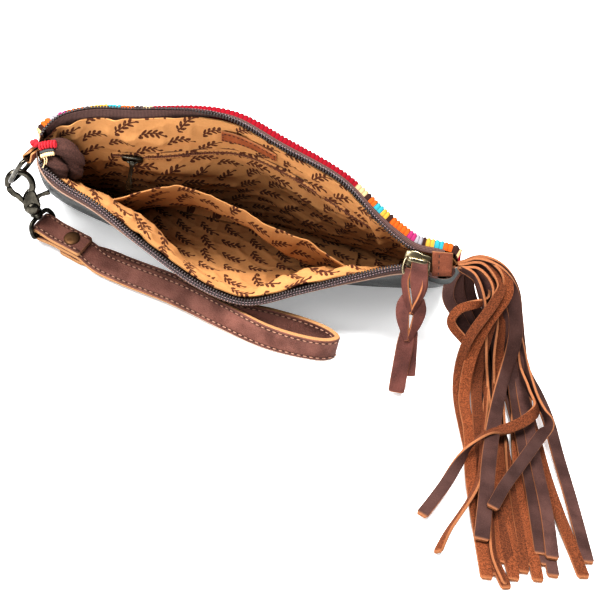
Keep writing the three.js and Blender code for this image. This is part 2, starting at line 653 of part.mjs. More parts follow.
// Snap hook: x across its plate, y away from the viewer, z from the strap's bar to the hook's eye
const hookAxis = HOOK_EYE.clone().sub(STRAP_BAR).normalize();
const eyeHeight = HOOK_EYE.distanceTo(STRAP_BAR);
const hookFace = VIEWER.clone().addScaledVector(hookAxis, -VIEWER.dot(hookAxis)).normalize();
const hookSide = hookAxis.clone().cross(hookFace);
const hook = new THREE.Group();
hook.position.copy(STRAP_BAR);
hook.setRotationFromMatrix(new THREE.Matrix4().makeBasis(hookSide, hookFace.clone().negate(), hookAxis));
const swivel = new THREE.Group();
const barSide = strapAcross.clone().addScaledVector(hookAxis, -strapAcross.dot(hookAxis)).normalize();
swivel.position.copy(STRAP_BAR);
swivel.setRotationFromMatrix(new THREE.Matrix4().makeBasis(barSide, hookAxis.clone().cross(barSide), hookAxis));
wristlet.add(hook, swivel);

function eyeArc(fromDegrees, toDegrees, count) {
  const places = [];
  for (let i = 0; i <= count; i += 1) {
    const angle = degToRad(lerp(fromDegrees, toDegrees, i / count));
    places.push(point(EYE.across * Math.cos(angle), 0, eyeHeight + EYE.along * Math.sin(angle)));
  }
  return places;
}

function hookPost(radius, length, sides = 14) {
  const pin = post(radius, -length / 2, length / 2, sides);
  return pin.rotateX(Math.PI / 2).translate(0, 0, HOOK.pivot);
}

function hookBody() {
  const outline = new THREE.Shape();
  outline.moveTo(-2.6, 11);
  outline.lineTo(2.6, 11);
  outline.quadraticCurveTo(4.6, 13, 4.6, 17);
  outline.quadraticCurveTo(4.8, 21, 5.2, 24);
  outline.lineTo(0.8, 25);
  outline.lineTo(-3.6, 21);
  outline.quadraticCurveTo(-4.6, 15, -2.6, 11);
  const plate = new THREE.ExtrudeGeometry(outline, { depth: 2 * HOOK.cheek, bevelEnabled: false, curveSegments: 4 });
  plate.rotateX(Math.PI / 2).translate(0, HOOK.cheek, 0);
  const claw = wire(smoothCurve([point(3.2, 0, 21.6), ...eyeArc(-62, 153, 10)]), EYE.wire, 11);
  const base = post(3.2, HOOK.base, 12.6);
  return cut(fuse([plate, claw, base]), [
    block(-9, 9, -HOOK.slot, HOOK.slot, 11.6, 20.9),
    block(-9, 2.2, -HOOK.slot, HOOK.slot, 20, 27),
    post(1.6, HOOK.base - 1, 11),
    hookPost(1.6, 9),
  ]);
}

function hookGate() {
  const flat = (places) => places.map((place, i) => {
    const before = places[Math.max(i - 1, 0)];
    const after = places[Math.min(i + 1, places.length - 1)];
    const across = after.clone().sub(before).cross(point(0, 1, 0)).normalize();
    return { place, across };
  });
  const pivot = point(0, 0, HOOK.pivot);
  const arm = flat([pivot, point(-3, 0, HOOK.pivot + 6), ...eyeArc(228, 168, 5)]);
  const thumb = flat([pivot, point(5, 0, HOOK.pivot + 4.2), point(HOOK.thumb, 0, HOOK.pivot + 4)]);
  const plate = fuse([
    band(arm, 2.8, 2 * HOOK.gate),
    band(thumb, 2, 2 * HOOK.gate),
    hookPost(2.9, 2 * HOOK.gate),
  ]);
  return cut(plate, [hookPost(1.6, 9)]);
}

addMesh('hook_body', hookBody(), 'brass', hook);
addMesh('hook_gate', hookGate(), 'brass', hook);
const pinHead = HOOK.cheek + GAP;
const pinProfile = [
  [0, -pinHead - 1], [1.6, -pinHead - 0.8], [2.2, -pinHead], [1.3, -pinHead], [1.3, pinHead],
  [2.2, pinHead], [1.6, pinHead + 0.8], [0, pinHead + 1],
].map(([radius, height]) => new THREE.Vector2(radius, height));
const hookPin = addMesh('hook_pin', new THREE.LatheGeometry(pinProfile, 10), 'brass', hook);
hookPin.position.z = HOOK.pivot;

function swivelRing() {
  const half = STRAP.width / 2 + RING_WIRE + 0.4;
  const right = [point(half * 0.5, 0, 0), point(half, 0, 0), point(half, 0, 3.6), point(6.2, 0, 6.8), point(1.6, 0, 7.8)];
  const left = right.map((place) => point(-place.x, 0, place.z)).reverse();
  const loop = new THREE.TubeGeometry(smoothCurve([...right, ...left], true), 24, RING_WIRE, 6, true);
  return fuse([loop, post(2.4, 7, HOOK.base - GAP, 12), post(1.3, 7.4, 10.7, 10)]);
}

addMesh('swivel_ring', swivelRing(), 'brass', swivel);

// D-ring through the hook's eye, and the leather tab that holds it at the left corner
const ringFoot = HOOK_EYE.clone().addScaledVector(hookAxis, D_RING.drop);
const ringDown = ringFoot.clone().sub(D_RING.bar);
const ringLength = ringDown.length();
ringDown.normalize();
const ringSide = point(0, 1, 0).addScaledVector(ringDown, -ringDown.y).normalize();
const ringOut = ringDown.clone().cross(ringSide);
const ring = new THREE.Group();
ring.position.copy(D_RING.bar);
ring.setRotationFromMatrix(new THREE.Matrix4().makeBasis(ringSide, ringDown, ringSide.clone().cross(ringDown)));
wristlet.add(ring);

function dRing() {
  const half = D_RING.half;
  const right = [
    point(half * 0.5, 0, 0), point(half, 0.2, 0), point(half + 0.6, 2.5, 0), point(half + 0.2, ringLength * 0.5, 0),
    point(half * 0.75, ringLength * 0.9, 0),
  ];
  const left = right.map((place) => point(-place.x, place.y, 0)).reverse();
  const route = smoothCurve([...right, point(0, ringLength, 0), ...left], true);
  return new THREE.TubeGeometry(route, 24, RING_WIRE, 6, true);
}

addMesh('d_ring', dRing(), 'brass', ring);

function ringTab() {
  const seamEnd = point(-111.4, 4.2, 62.6);
  const radius = RING_WIRE + GAP + 0.7;
  const stops = [seamEnd.clone().addScaledVector(ringOut, 0.9)];
  for (let i = 0; i <= 6; i += 1) {
    const angle = Math.PI * (i / 6);
    const place = D_RING.bar.clone().addScaledVector(ringOut, radius * Math.cos(angle));
    stops.push(place.addScaledVector(ringDown, radius * Math.sin(angle)));
  }
  stops.push(seamEnd.clone().addScaledVector(ringOut, -0.9));
  return band(stops.map((place) => ({ place, across: ringSide })), 8.5, 1.4);
}

addMesh('ring_tab', ringTab(), 'leather');

// Tassel: thongs that leave a gathered head, arch over, drop to the floor and run out along it
function thong(row) {
  const waist = point(row.waistX, row.waistY, row.lift + 4);
  const tip = point(row.tipX, row.tipY, THONG.thick / 2 + 0.3);
  const halfway = waist.clone().lerp(tip, 0.5).add(point(row.bow, 0, 0));
  halfway.z = row.lift;
  const route = smoothCurve([
    TASSEL_HEAD,
    TASSEL_HEAD.clone().add(point(0.45 * row.reach, 5, row.crest - TASSEL_HEAD.z)),
    TASSEL_HEAD.clone().add(point(row.reach, 1, 0.6 * row.crest - TASSEL_HEAD.z)),
    waist,
    halfway,
    tip,
  ]);
  const stops = [];
  for (let i = 0; i <= THONG.steps; i += 1) {
    const along = (i / THONG.steps) ** 1.3;
    const place = route.getPointAt(along);
    const heading = route.getTangentAt(along);
    place.z = Math.max(place.z, THONG.thick / 2 + 0.3);
    const turn = (Math.PI / 2) * smoothstep(along, 0, 0.35);
    const across = point(-Math.sin(turn), -Math.cos(turn), 0);
    across.addScaledVector(heading, -across.dot(heading)).normalize();
    stops.push({ place, across });
  }
  return band(stops, THONG.width, THONG.thick);
}

const head = new THREE.SphereGeometry(HEAD_RADIUS, 14, 10);
head.translate(TASSEL_HEAD.x, TASSEL_HEAD.y, TASSEL_HEAD.z);
addMesh('tassel', fuse([head, ...THONGS.map(thong)]), 'suede');

wristlet.position.y = -REST_Y;

export default wristlet;
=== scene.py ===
"""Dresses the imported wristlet: leather, woven cloth, printed lining, zip, brass hardware and thong tassel.

Shapes are worked out in bag millimetres: x along the bag, y into it from the mouth, z up from the floor.
They go into the frame in metres, moved by the distance from the mouth to the bag's resting point.
"""

import bpy
import numpy as np
from mathutils import Matrix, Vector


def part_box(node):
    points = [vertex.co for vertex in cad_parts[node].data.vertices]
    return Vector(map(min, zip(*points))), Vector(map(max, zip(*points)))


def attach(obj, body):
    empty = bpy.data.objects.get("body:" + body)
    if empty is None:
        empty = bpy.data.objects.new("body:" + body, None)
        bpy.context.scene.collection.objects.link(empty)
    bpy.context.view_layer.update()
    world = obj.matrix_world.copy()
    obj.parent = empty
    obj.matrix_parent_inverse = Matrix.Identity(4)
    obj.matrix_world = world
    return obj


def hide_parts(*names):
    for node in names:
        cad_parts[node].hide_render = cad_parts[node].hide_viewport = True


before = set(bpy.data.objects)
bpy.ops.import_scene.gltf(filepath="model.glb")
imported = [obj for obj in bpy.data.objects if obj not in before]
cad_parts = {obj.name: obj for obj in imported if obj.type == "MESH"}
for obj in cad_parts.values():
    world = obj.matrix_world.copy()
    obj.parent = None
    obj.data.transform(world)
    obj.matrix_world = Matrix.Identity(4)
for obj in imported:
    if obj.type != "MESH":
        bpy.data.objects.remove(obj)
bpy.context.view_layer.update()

# Pouch, in millimetres; RIM_LIFT is how far above its rim a wall's table starts
REST_Y = 55
BAG_WIDTH = 230
BOTTOM_Y = 88
BOTTOM_ROUNDING = 6
MOUTH_HEIGHT = 58
MOUTH_TILT = np.radians(65.3)
LEATHER = 1.8
WOVEN = 3
GAP = 0.3
FLOOR_PRESS = 10
FLOOR_BLEND = 4
RIM_LIFT = 3
TAPE_DEPTH = 9
HEM_DEPTH = 18
YARN_TURN = 1.8
CLOTH = 0.7
LINING_OUTSIDE = 1.2
LINING_INSIDE = 2.2
RIB_PITCH = 2.3
TOOTH_PITCH = 1.5

# Rims in the plane of the mouth, from the left corner to the right one: x, rise
BACK_RIM = [
    (-109, 8), (-107.8, 17), (-101.5, 26), (-87, 33.5), (-66, 38), (-35, 45), (-16, 45.5), (9, 38.5),
    (43, 28.5), (65, 14.5), (76, 8.6), (86, 4.8), (98, 4.8), (106, 4.2), (109.5, -1.5),
]
FRONT_RIM = [
    (-109, 8), (-105.5, 0.5), (-96, -6.6), (-74, -14), (-48, -26.5), (-16, -40), (4, -43.5), (14, -42),
    (35, -31), (63, -16.7), (83, -8), (94, -7.8), (105, -7.2), (109.5, -1.5),
]

# A wall's pull at its seams, and at a quarter, half and three quarters of its rim: upper y, z, lower y, z
SEAM_PULL = (27, 36, 56, 13)
FRONT_PULL = [(7, 36, 34, -14), (6, 19, 12, -36), (12, 36, 34, -14)]
BACK_PULL = [(19, 72, 46, 33), (38, 72, 62, 38), (23, 67, 51, 33)]
RIMS = {"front": FRONT_RIM, "back": BACK_RIM}
PULLS = {"front": FRONT_PULL, "back": BACK_PULL}
INWARD = {"front": 1, "back": -1}

# Ribs of the woven back along its rim, from the left corner to the right one: colour, ribs
STRIPES = [
    ("red", 2), ("cream", 2), ("brown", 1), ("orange", 2), ("grey", 2), ("magenta", 2), ("orange", 4),
    ("brown", 1), ("yellow", 4), ("turquoise", 3), ("orange", 3), ("brown", 2), ("cream", 2), ("red", 49),
    ("cream", 3), ("brown", 1), ("orange", 2), ("turquoise", 2), ("yellow", 2), ("brown", 1), ("orange", 5),
    ("magenta", 2), ("grey", 2), ("brown", 1), ("yellow", 2), ("turquoise", 2), ("orange", 2), ("brown", 1),
    ("cream", 1), ("red", 2),
]

# Swell of the woven hem beside the zip: share along the rim, millimetres
WOVEN_HEM = [
    (0, 2.2), (0.05, 2.2), (0.09, 0.6), (0.14, 0.8), (0.18, 2.4), (0.27, 2.8), (0.4, 2.4), (0.55, 2), (1, 2),
]

# Yarn colours, linear
YARN = {
    "red": (0.24, 0.005, 0.015), "cream": (0.52, 0.36, 0.2), "brown": (0.045, 0.018, 0.014),
    "orange": (0.5, 0.105, 0.014), "grey": (0.3, 0.28, 0.3), "magenta": (0.34, 0.036, 0.135),
    "yellow": (0.52, 0.3, 0.05), "turquoise": (0.04, 0.29, 0.335),
}

# Inside of the pouch
SLIP_POCKET = {"start": 0.15, "end": 0.77, "depth": 22, "foot": 16, "gape": 40}
POCKET_ZIP = {"start": 0.19, "end": 0.82, "depth": 33, "depth_end": 25}
PATCH = {"start": 0.415, "end": 0.545, "depth": 14, "height": 9}
POCKET_PULL = {"across": 0.235, "length": 17}

# Folds of the linings: both ends as places along and down the wall, width and height
FRONT_FOLDS = [
    (40, 20, 150, 62, 5, 2.2), (60, 8, 110, 40, 3.5, 1.8), (150, 12, 190, 40, 4, 2.0),
    (30, 30, 60, 80, 5, 2.0), (190, 20, 215, 60, 5, 1.8), (100, 20, 170, 24, 3, 1.2),
    (15, 10, 30, 60, 4, 1.8), (165, 6, 214, 22, 3, 1.8), (140, 8, 176, 30, 3, 1.5),
    (110, 10, 150, 16, 2.6, 1.2), (24, 6, 58, 16, 3, 2.2), (70, 5, 84, 22, 2.6, 1.4),
    (16, 13, 62, 27, 8, 4.5),
]
BACK_FOLDS = [
    (26, 8, 40, 60, 4, 2.2), (14, 14, 26, 70, 4, 1.8), (44, 14, 70, 20, 3, 1.5), (60, 40, 120, 60, 6, 2.0),
    (120, 36, 180, 54, 6, 2.0), (196, 10, 206, 60, 4, 2.0), (160, 12, 200, 22, 3, 1.6),
    (70, 60, 160, 78, 6, 2.0), (80, 6, 96, 26, 3, 1.2), (214, 8, 222, 50, 3, 1.6), (50, 6, 62, 30, 3, 1.6),
    (146, 10, 176, 40, 4, 1.6), (176, 30, 206, 46, 4, 2.0), (186, 8, 214, 30, 3, 1.4),
    (36, 36, 90, 48, 4, 1.4),
]
POCKET_FOLDS = [(80, 20, 96, 70, 4, 1.2), (120, 20, 130, 60, 5, 1.3), (160, 24, 150, 60, 4, 1.1)]
FOLDS = {"front": FRONT_FOLDS, "back": BACK_FOLDS}

# Depth of a lining's top edge at the left end and from the middle on
LINING_TOP = {"front": (2.5, 2.5), "back": (5.2, 2.8)}

# Shares of the rim that the tapes and the teeth of the open zip cover
TAPE_SHARES = (0.045, 0.95)
TEETH_SHARES = (0.03, 0.885)

# Zip end, pull and hardware
ZIP_END = {
    "x": 88.2, "rise": -1.5, "length": 12.6, "width": 8.6, "plate": 1.2, "room": 2.6, "tape_end": 104.5,
}
END_TAB = {
    "left": ((94.3, 4.6), (97.1, -8.2)), "right": ((104.6, 6), (106.9, -5.6)), "thick": 1.6, "base": 1.1,
}

# Grey leather turned over the right corner, round the end tab: x, rise, out
CORNER_BAND = [
    (90, -8.9, 0.2), (96.4, -9.3, 0.4), (103.1, -9.4, 0.4), (107.2, -7.7, 0.4), (109.1, -5, 0.4),
    (109.3, -2.4, 0.3), (108.3, -0.6, 0),
]

# Rolled zip end in the left corner: stops as x, rise, out and radius
ZIP_ROLLS = [
    [(-105.5, 8, -0.5, 2.2), (-100.5, 10.8, -1.2, 3.9), (-95.5, 10.6, -3.4, 4.7), (-91.6, 7, -7.5, 4.9),
     (-90.6, 1.2, -12, 4.7), (-92, -4, -17, 3.8)],
    [(-105, 3.6, -1.6, 1.8), (-101, 3.4, -1.6, 3.4), (-97, 0.8, -4, 4.1), (-95.6, -4, -8.5, 3.4)],
]

# Yarn and edges at the left corner: name, slot, stops as for mouth_point, radius and number of swellings
RED_WINDING = [(-107.6, 9.4, 1.6), (-104, 11.4, 2.8), (-99.6, 12.8, 3.4)]
CORNER_LAYERS = [
    ("corner_red_knot", "woven", [(-112, 9.6, -0.5), (-110.4, 10.8, 0.6), (-108.6, 9.4, 1.4)], 1.5, 3),
    ("corner_grey_edge", "grey", [(-106.8, 6.6, 1.6), (-103.4, 8.6, 3), (-99.8, 9.8, 3.6)], 0.9, 0),
    ("corner_cream_yarn", "woven", [(-106, 4.8, 1.6), (-103, 6.8, 3), (-99.4, 8.2, 3.6)], 0.9, 7),
    ("corner_fray_long", "woven", [(-105, 5.4, 2.2), (-103.4, 3.4, 3), (-103.8, -0.6, 2.2)], 0.3, 0),
    ("corner_fray_short", "woven", [(-103.6, 6, 2.8), (-102.4, 4, 3.2), (-102.6, 1.6, 2.4)], 0.28, 0),
]

# Middle of the leather pull: x, y, z
PULL_ROUTE = [
    (88.2, -3.6, 59.5), (89, -8, 52), (91, -15, 41.6), (92.4, -22, 30), (93, -29, 17), (93.3, -39.5, 2),
]

# Leather pull, a strip drawn through its own slits: each run's stops as down, aside, out, width and roll
PULL_RUNS = [
    [(8.8, 1.2, -1.4, 8, 0), (4.6, 1.2, -1.3, 8, 0), (2, 1.2, 0.3, 8, 0), (4.6, 1.2, 2, 8.2, 0),
     (8.8, 1.5, 2.3, 9, 0), (14.7, 1.6, 2.3, 7.6, 0), (20.7, 1.3, 2, 4.6, 0), (25.5, 0.6, 1.4, 2, 0)],
    [(5.8, -3.6, 0.6, 4.2, 40), (11.2, -5, 1.2, 4.6, 50), (18.9, -3.9, 1.6, 4.4, 50),
     (24.2, -2.2, 1.9, 3.8, 45), (28.4, -0.7, 1.9, 2.6, 40)],
    [(9, 4.4, 1.4, 3.6, -30), (14.7, 4.6, 1.9, 4, -45), (20.1, 2.8, 2.2, 4, -50), (24.2, 1, 2.2, 3.4, -45),
     (28.4, -0.6, 2, 2.4, -40)],
    [(18.9, -3.8, -0.4, 4, 20), (24.2, -5, 0.1, 6.4, 15), (30.2, -4.4, 0.9, 6.6, 20),
     (36.1, -2.6, 1.7, 5, 35), (41.5, -0.5, 1.9, 2.6, 40)],
    [(20.1, 3.2, -0.4, 4, -20), (25.5, 3.9, 0.1, 6, -15), (31, 3, 0.9, 5.8, -20),
     (36.6, 1.5, 1.6, 4.4, -35), (41.5, 0, 1.8, 2.6, -40)],
    [(36.5, -0.9, 0, 7, 0), (43.8, -0.7, 0.5, 8.4, 0), (51.6, -0.6, 0.5, 8.3, 0), (59.3, -0.4, 0.5, 8.1, 0),
     (68.2, 0, 0.3, 7.9, 0)],
    [(36.5, 0.8, -1.4, 7, 0), (44.4, 1.6, -1.4, 7.8, 0), (51.6, 2.8, -1.4, 7.8, 0), (59, 4, -1.3, 7.6, 0)],
]

# Snap hook and rings: places, directions and sizes, and the camera's place, which the D-ring is turned to
HOOK_EYE = np.array([-118.4, 14.6, 35])
STRAP_BAR = np.array([-104.6, 20, 8.6])
VIEWER = np.array([0, -0.82, 0.57])
EYE = {"across": 6, "along": 7.9, "wire": 1.6}
PIVOT = 14.8
RING_WIRE = 1.2
D_RING_BAR = np.array([-111.8, 4.6, 60.2])
D_RING = {"half": 7.5, "drop": 4.5, "turn": 13}
CAMERA = np.array([36, -633, 459])
RING_SEAM = np.array([-110.2, 3.8, 64])

# Strap: the flap on the ring's bar, and the loop's route as x, y, lean in degrees and lift off the floor
STRAP = {"width": 12.7, "thick": 3, "lean": 69, "rivet": 19, "flap": 28, "end": 14}
STRAP_SEAM = 4.65
STRAP_SIDES = 36
STRAP_ROWS = 700
STRAP_HEADING = np.array([0.92, -0.39, 0])
STRAP_ROUTE = [
    (-69.5, 4.4, 64, 1.4), (-55, -0.4, 57, 1), (-27, -7.4, 47, 0.8), (0, -17.4, 27, 0.2), (24, -25.5, 8, 0),
    (44, -26.4, 0, 0), (54.6, -24.2, 0, 0), (58.6, -20, 0, 0), (54.6, -15.8, 0, 0), (44, -12.4, 2, 0),
    (24, -11, 8, 0), (0, -12.4, 25, 0), (-27, -1.8, 45, 0), (-55, 5.6, 57, 0), (-69.5, 10.2, 64, 0),
]

# Tassel: each thong's width, and its stops as x, y, z and the grain's roll in degrees from the viewer
THONG_THICK = 1.6
THONGS = [
    (5.8, [(109, 1, 59, 90), (118, 2, 65, 95), (131, -4, 63, 120), (135, -9, 56, 170), (129, -17, 39, 190),
           (126, -23, 22, 180), (127, -35, 6, 180), (131, -58, 4, 180), (134, -93, 3, 180),
           (144, -153, 1, 180)]),
    (5.0, [(109, 0, 59, 90), (120, -1, 64, 105), (131, -9, 59, 145), (130, -14, 53, 180),
           (122, -22, 31, 200), (122, -25, 13, 195), (124, -33, 5, 200), (133, -79, 3, 190),
           (138, -118, 2, 180), (153, -156, 1, 180)]),
    (4.6, [(110, 1, 57, 60), (125, -4, 53, 80), (127, -9, 49, 110), (114, -14, 42, 200),
           (112, -16, 35, 205), (124, -19, 25, 220), (136, -22, 10, 240), (138, -36, 6, 250),
           (137, -70, 9, 260), (136, -100, 8, 250), (124, -134, 4, 240), (121, -145, 2, 225)]),
    (5.8, [(109, 0, 57, 20), (107, -4, 50, 10), (108, -8, 43, 0), (116, -11, 35, 0), (126, -13, 24, 20),
           (133, -14, 9, 30), (136, -28, 4, 60), (139, -60, 3, 150), (145, -102, 2, 180),
           (156, -147, 1, 180)]),
    (6.4, [(109, 1, 58, -30), (115, 0, 57, -15), (122, -2, 55, 0), (129, -5, 52, 20), (134, -8, 46, 30),
           (138, -10, 37, 15), (140, -12, 25, 0), (143, -15, 9, 20), (145, -29, 4, 80), (148, -57, 3, 160),
           (152, -92, 2, 180), (160, -144, 1, 180)]),
    (5.4, [(109, 2, 58, -70), (116, 2, 61, -75), (124, 0, 61, -65), (131, -3, 56, -45), (136, -5, 48, -20),
           (141, -7, 36, 0), (146, -9, 16, 10), (151, -18, 5, 50), (154, -47, 3, 140), (158, -90, 2, 180),
           (167, -147, 1, 180)]),
    (7.2, [(109, 2, 59, 90), (117, 1, 64, 90), (127, -2, 63, 60), (136, -5, 56, 20), (141, -8, 47, 0),
           (145, -11, 35, 0), (146, -14, 24, -15), (145, -21, 14, -30), (142, -50, 12, -15),
           (140, -82, 12, 0), (140, -110, 8, 0), (140, -133, 4, 0)]),
    (6.2, [(109, 2, 58, 80), (118, 3, 64, 80), (129, 1, 62, 40), (138, -2, 54, 10), (144, -4, 40, 0),
           (149, -7, 27, 0), (155, -10, 14, -10), (164, -21, 8, -10), (170, -37, 6, 0), (176, -60, 3, 0),
           (183, -92, 2, 0), (190, -128, 1, 0)]),
    (6.0, [(109, 2, 58, 70), (118, 1, 63, 70), (129, -2, 61, 50), (138, -5, 49, 20), (146, -9, 32, 30),
           (155, -14, 17, 60), (161, -30, 14, 85), (166, -43, 14, 95), (168, -53, 15, 60),
           (163, -66, 16, 15), (155, -85, 14, 0), (148, -101, 11, 0), (143, -116, 9, 0)]),
    (5.6, [(109, 1, 58, 70), (120, 0, 62, 70), (129, -3, 58, 40), (137, -6, 48, 20), (144, -10, 32, 40),
           (152, -14, 16, 80), (158, -28, 14, 100), (162, -41, 14, 130), (157, -51, 13, 180),
           (148, -59, 11, 185), (139, -67, 13, 230), (131, -79, 12, 270), (126, -90, 9, 320),
           (121, -104, 6, 350), (116, -116, 4, 360), (112, -125, 3, 360)]),
    (6.2, [(110, 2, 57, 60), (121, 1, 62, 60), (132, -2, 57, 30), (141, -5, 43, 0), (148, -10, 27, 0),
           (155, -20, 10, 0), (160, -44, 6, 0), (165, -76, 5, 0), (170, -105, 4, 0), (173, -133, 3, 0)]),
    (6.2, [(110, 1, 57, 60), (120, -1, 61, 50), (131, -4, 55, 30), (139, -7, 41, 0), (145, -12, 24, 0),
           (152, -23, 8, 0), (157, -56, 5, 0), (162, -87, 4, 0), (168, -131, 2, 0)]),
    (5.8, [(110, 2, 57, 70), (122, 2, 60, 60), (135, 0, 53, 20), (144, -3, 36, 0), (152, -9, 19, 30),
           (160, -20, 6, 90), (165, -51, 3, 160), (172, -84, 2, 180), (188, -138, 1, 180)]),
    (5.6, [(110, 0, 57, 10), (118, -3, 58, 40), (127, -7, 52, 30), (133, -11, 39, 60), (137, -16, 23, 90),
           (142, -25, 6, 110), (144, -58, 3, 150), (148, -94, 2, 180), (156, -150, 1, 180)]),
    (4.8, [(110, -1, 58, 60), (117, -5, 58, 70), (124, -10, 50, 80), (129, -14, 37, 90), (133, -19, 24, 95),
           (138, -24, 9, 110), (142, -46, 5, 115), (142, -75, 4, 110), (144, -109, 3, 120),
           (147, -140, 2, 140), (153, -154, 1, 150)]),
    (5.6, [(110, 2, 57, 60), (124, 1, 58, 60), (136, -1, 49, 30), (145, -5, 32, 0), (154, -12, 10, 0),
           (161, -44, 3, 0), (166, -86, 2, 0), (174, -142, 1, 0)]),
    (5.6, [(110, 0, 57, 80), (119, -3, 61, 90), (128, -8, 57, 120), (131, -13, 46, 150),
           (131, -18, 30, 170), (132, -26, 10, 180), (135, -50, 5, 180), (139, -90, 3, 180),
           (146, -150, 1, 180)]),
    (5.6, [(110, 1, 57, 80), (121, -1, 59, 90), (130, -6, 52, 140), (136, -11, 38, 170),
           (140, -16, 20, 180), (144, -29, 6, 180), (148, -62, 3, 180), (151, -100, 2, 180),
           (157, -140, 1, 180)]),
    (6.0, [(109, 1, 57, 10), (111, -1, 50, 0), (114, -3, 42, 0), (121, -6, 33, 10), (130, -9, 21, 20),
           (137, -14, 8, 30), (141, -40, 3, 60), (146, -90, 2, 150), (151, -141, 1, 180)]),
    (6.0, [(109, 2, 57, 0), (115, 1, 51, 0), (119, -1, 43, 0), (126, -3, 33, 0), (134, -6, 21, 10),
           (141, -12, 8, 20), (148, -45, 3, 90), (155, -95, 2, 160), (162, -139, 1, 180)]),
    (6.0, [(110, 3, 57, 0), (120, 2, 53, 0), (126, 0, 44, 0), (132, -1, 33, 0), (139, -4, 20, 0),
           (147, -12, 7, 0), (156, -48, 3, 0), (163, -95, 2, 0), (171, -136, 1, 0)]),
]

SHARP_ANGLE = np.radians(55)
RIGHT = np.array([1.0, 0, 0])
FORTH = np.array([0, 1.0, 0])
UP = np.array([0, 0, 1.0])


def unit(vectors):
    """Vectors at length one."""
    return vectors / np.maximum(np.linalg.norm(vectors, axis=-1, keepdims=True), 1e-9)


def step(value, low, high):
    """Smooth step: 0 below low, 1 above high, 3t^2 - 2t^3 between."""
    t = np.clip((value - low) / (high - low), 0, 1)
    return t * t * (3 - 2 * t)


def run_along(points, axis=0):
    """Arc length from the first point along one axis of a table of points."""
    first = np.take(points, [0], axis)
    return np.cumsum(np.linalg.norm(np.diff(points, axis=axis, prepend=first), axis=-1), axis=axis)


def pair(u, v):
    """Two tables of numbers as one table of pairs."""
    return np.stack(np.broadcast_arrays(u, v), axis=-1)


def facing(table):
    """Unit normals of a table of points: the cross product of its two directions."""
    return unit(np.cross(np.gradient(table, axis=0), np.gradient(table, axis=1)))


def even(points, count):
    """A polyline resampled at even arc length over its first three columns; the other columns go along."""
    run = run_along(points[:, :3])
    places = np.linspace(0, run[-1], count)
    return np.stack([np.interp(places, run, column) for column in points.T], axis=1)


def route(stops, count, closed=False):
    """Centripetal Catmull-Rom curve through the stops, at even arc length.

    Knots lie the square root of the distance apart, tangents are the knots' weighted differences, and each
    span is a cubic Hermite between its stops.
    """
    stops = np.asarray(stops, float)
    if closed:
        ends = np.vstack([stops[-1:], stops, stops[:2]])
    else:
        ends = np.vstack([2 * stops[0] - stops[1], stops, 2 * stops[-1] - stops[-2]])
    x0, x1, x2, x3 = (ends[k:len(ends) - 3 + k] for k in range(4))
    d0, d1, d2 = (
        np.maximum(np.linalg.norm((b - a)[:, :3], axis=1, keepdims=True) ** 0.5, 1e-4)
        for a, b in ((x0, x1), (x1, x2), (x2, x3))
    )
    leave = ((x1 - x0) / d0 - (x2 - x0) / (d0 + d1) + (x2 - x1) / d1) * d1
    reach = ((x2 - x1) / d1 - (x3 - x1) / (d1 + d2) + (x3 - x2) / d2) * d1
    t = np.linspace(0, 1, 40, endpoint=False)[None, :, None]
    spans = (
        (2 * t**3 - 3 * t**2 + 1) * x1[:, None] + (t**3 - 2 * t**2 + t) * leave[:, None]
        + (3 * t**2 - 2 * t**3) * x2[:, None] + (t**3 - t**2) * reach[:, None]
    )
    last = stops[:1] if closed else stops[-1:]
    return even(np.vstack([spans.reshape(-1, stops.shape[1]), last]), count)


def headings(path, closed=False):
    """Unit tangents of a path by central differences."""
    if closed:
        return unit(np.roll(path, -1, 0) - np.roll(path, 1, 0))
    return unit(np.gradient(path, axis=0))


def across_of(heading, guide):
    """The guide direction with its part along the heading taken out."""
    guide = np.broadcast_to(guide, heading.shape)
    return unit(guide - heading * np.sum(guide * heading, axis=-1, keepdims=True))


def mouth_point(x, rise, out=0.0):
    """A place given by x, the rise up the plane of the mouth and the distance out of it."""
    x, rise, out = np.broadcast_arrays(np.asarray(x, float), rise, out)
    y = rise * np.cos(MOUTH_TILT) - out * np.sin(MOUTH_TILT)
    z = MOUTH_HEIGHT + rise * np.sin(MOUTH_TILT) + out * np.cos(MOUTH_TILT)
    return np.stack([x, y, z], axis=-1)


def mouth_path(stops, count):
    """Curve through stops given as for mouth_point."""
    return route(mouth_point(*np.array(stops, float).T), count)


# Shells: points, faces as quads and triangles, and marks, values kept at each point


def grid_quads(n, m, wrap_n=False, wrap_m=False):
    """Quads of an n by m table of points, row by row."""
    i = np.arange(n if wrap_n else n - 1)[:, None]
    j = np.arange(m if wrap_m else m - 1)[None, :]
    i2, j2 = (i + 1) % n, (j + 1) % m
    corners = np.broadcast_arrays(i * m + j, i2 * m + j, i2 * m + j2, i * m + j2)
    return np.stack(corners, axis=-1).reshape(-1, 4)


def shell(points, quads, tris=None, marks=None):
    """A closed shell with its faces turned outwards: reversed where the signed volume is negative."""
    tris = np.zeros((0, 3), int) if tris is None else tris
    corners = np.vstack([quads[:, [0, 1, 2]], quads[:, [0, 2, 3]], tris])
    a, b, c = (points[corners[:, k]] for k in range(3))
    if np.sum(a * np.cross(b, c)) < 0:
        quads, tris = quads[:, ::-1], tris[:, ::-1]
    return {"points": points, "quads": quads, "tris": tris, "marks": marks or {}}


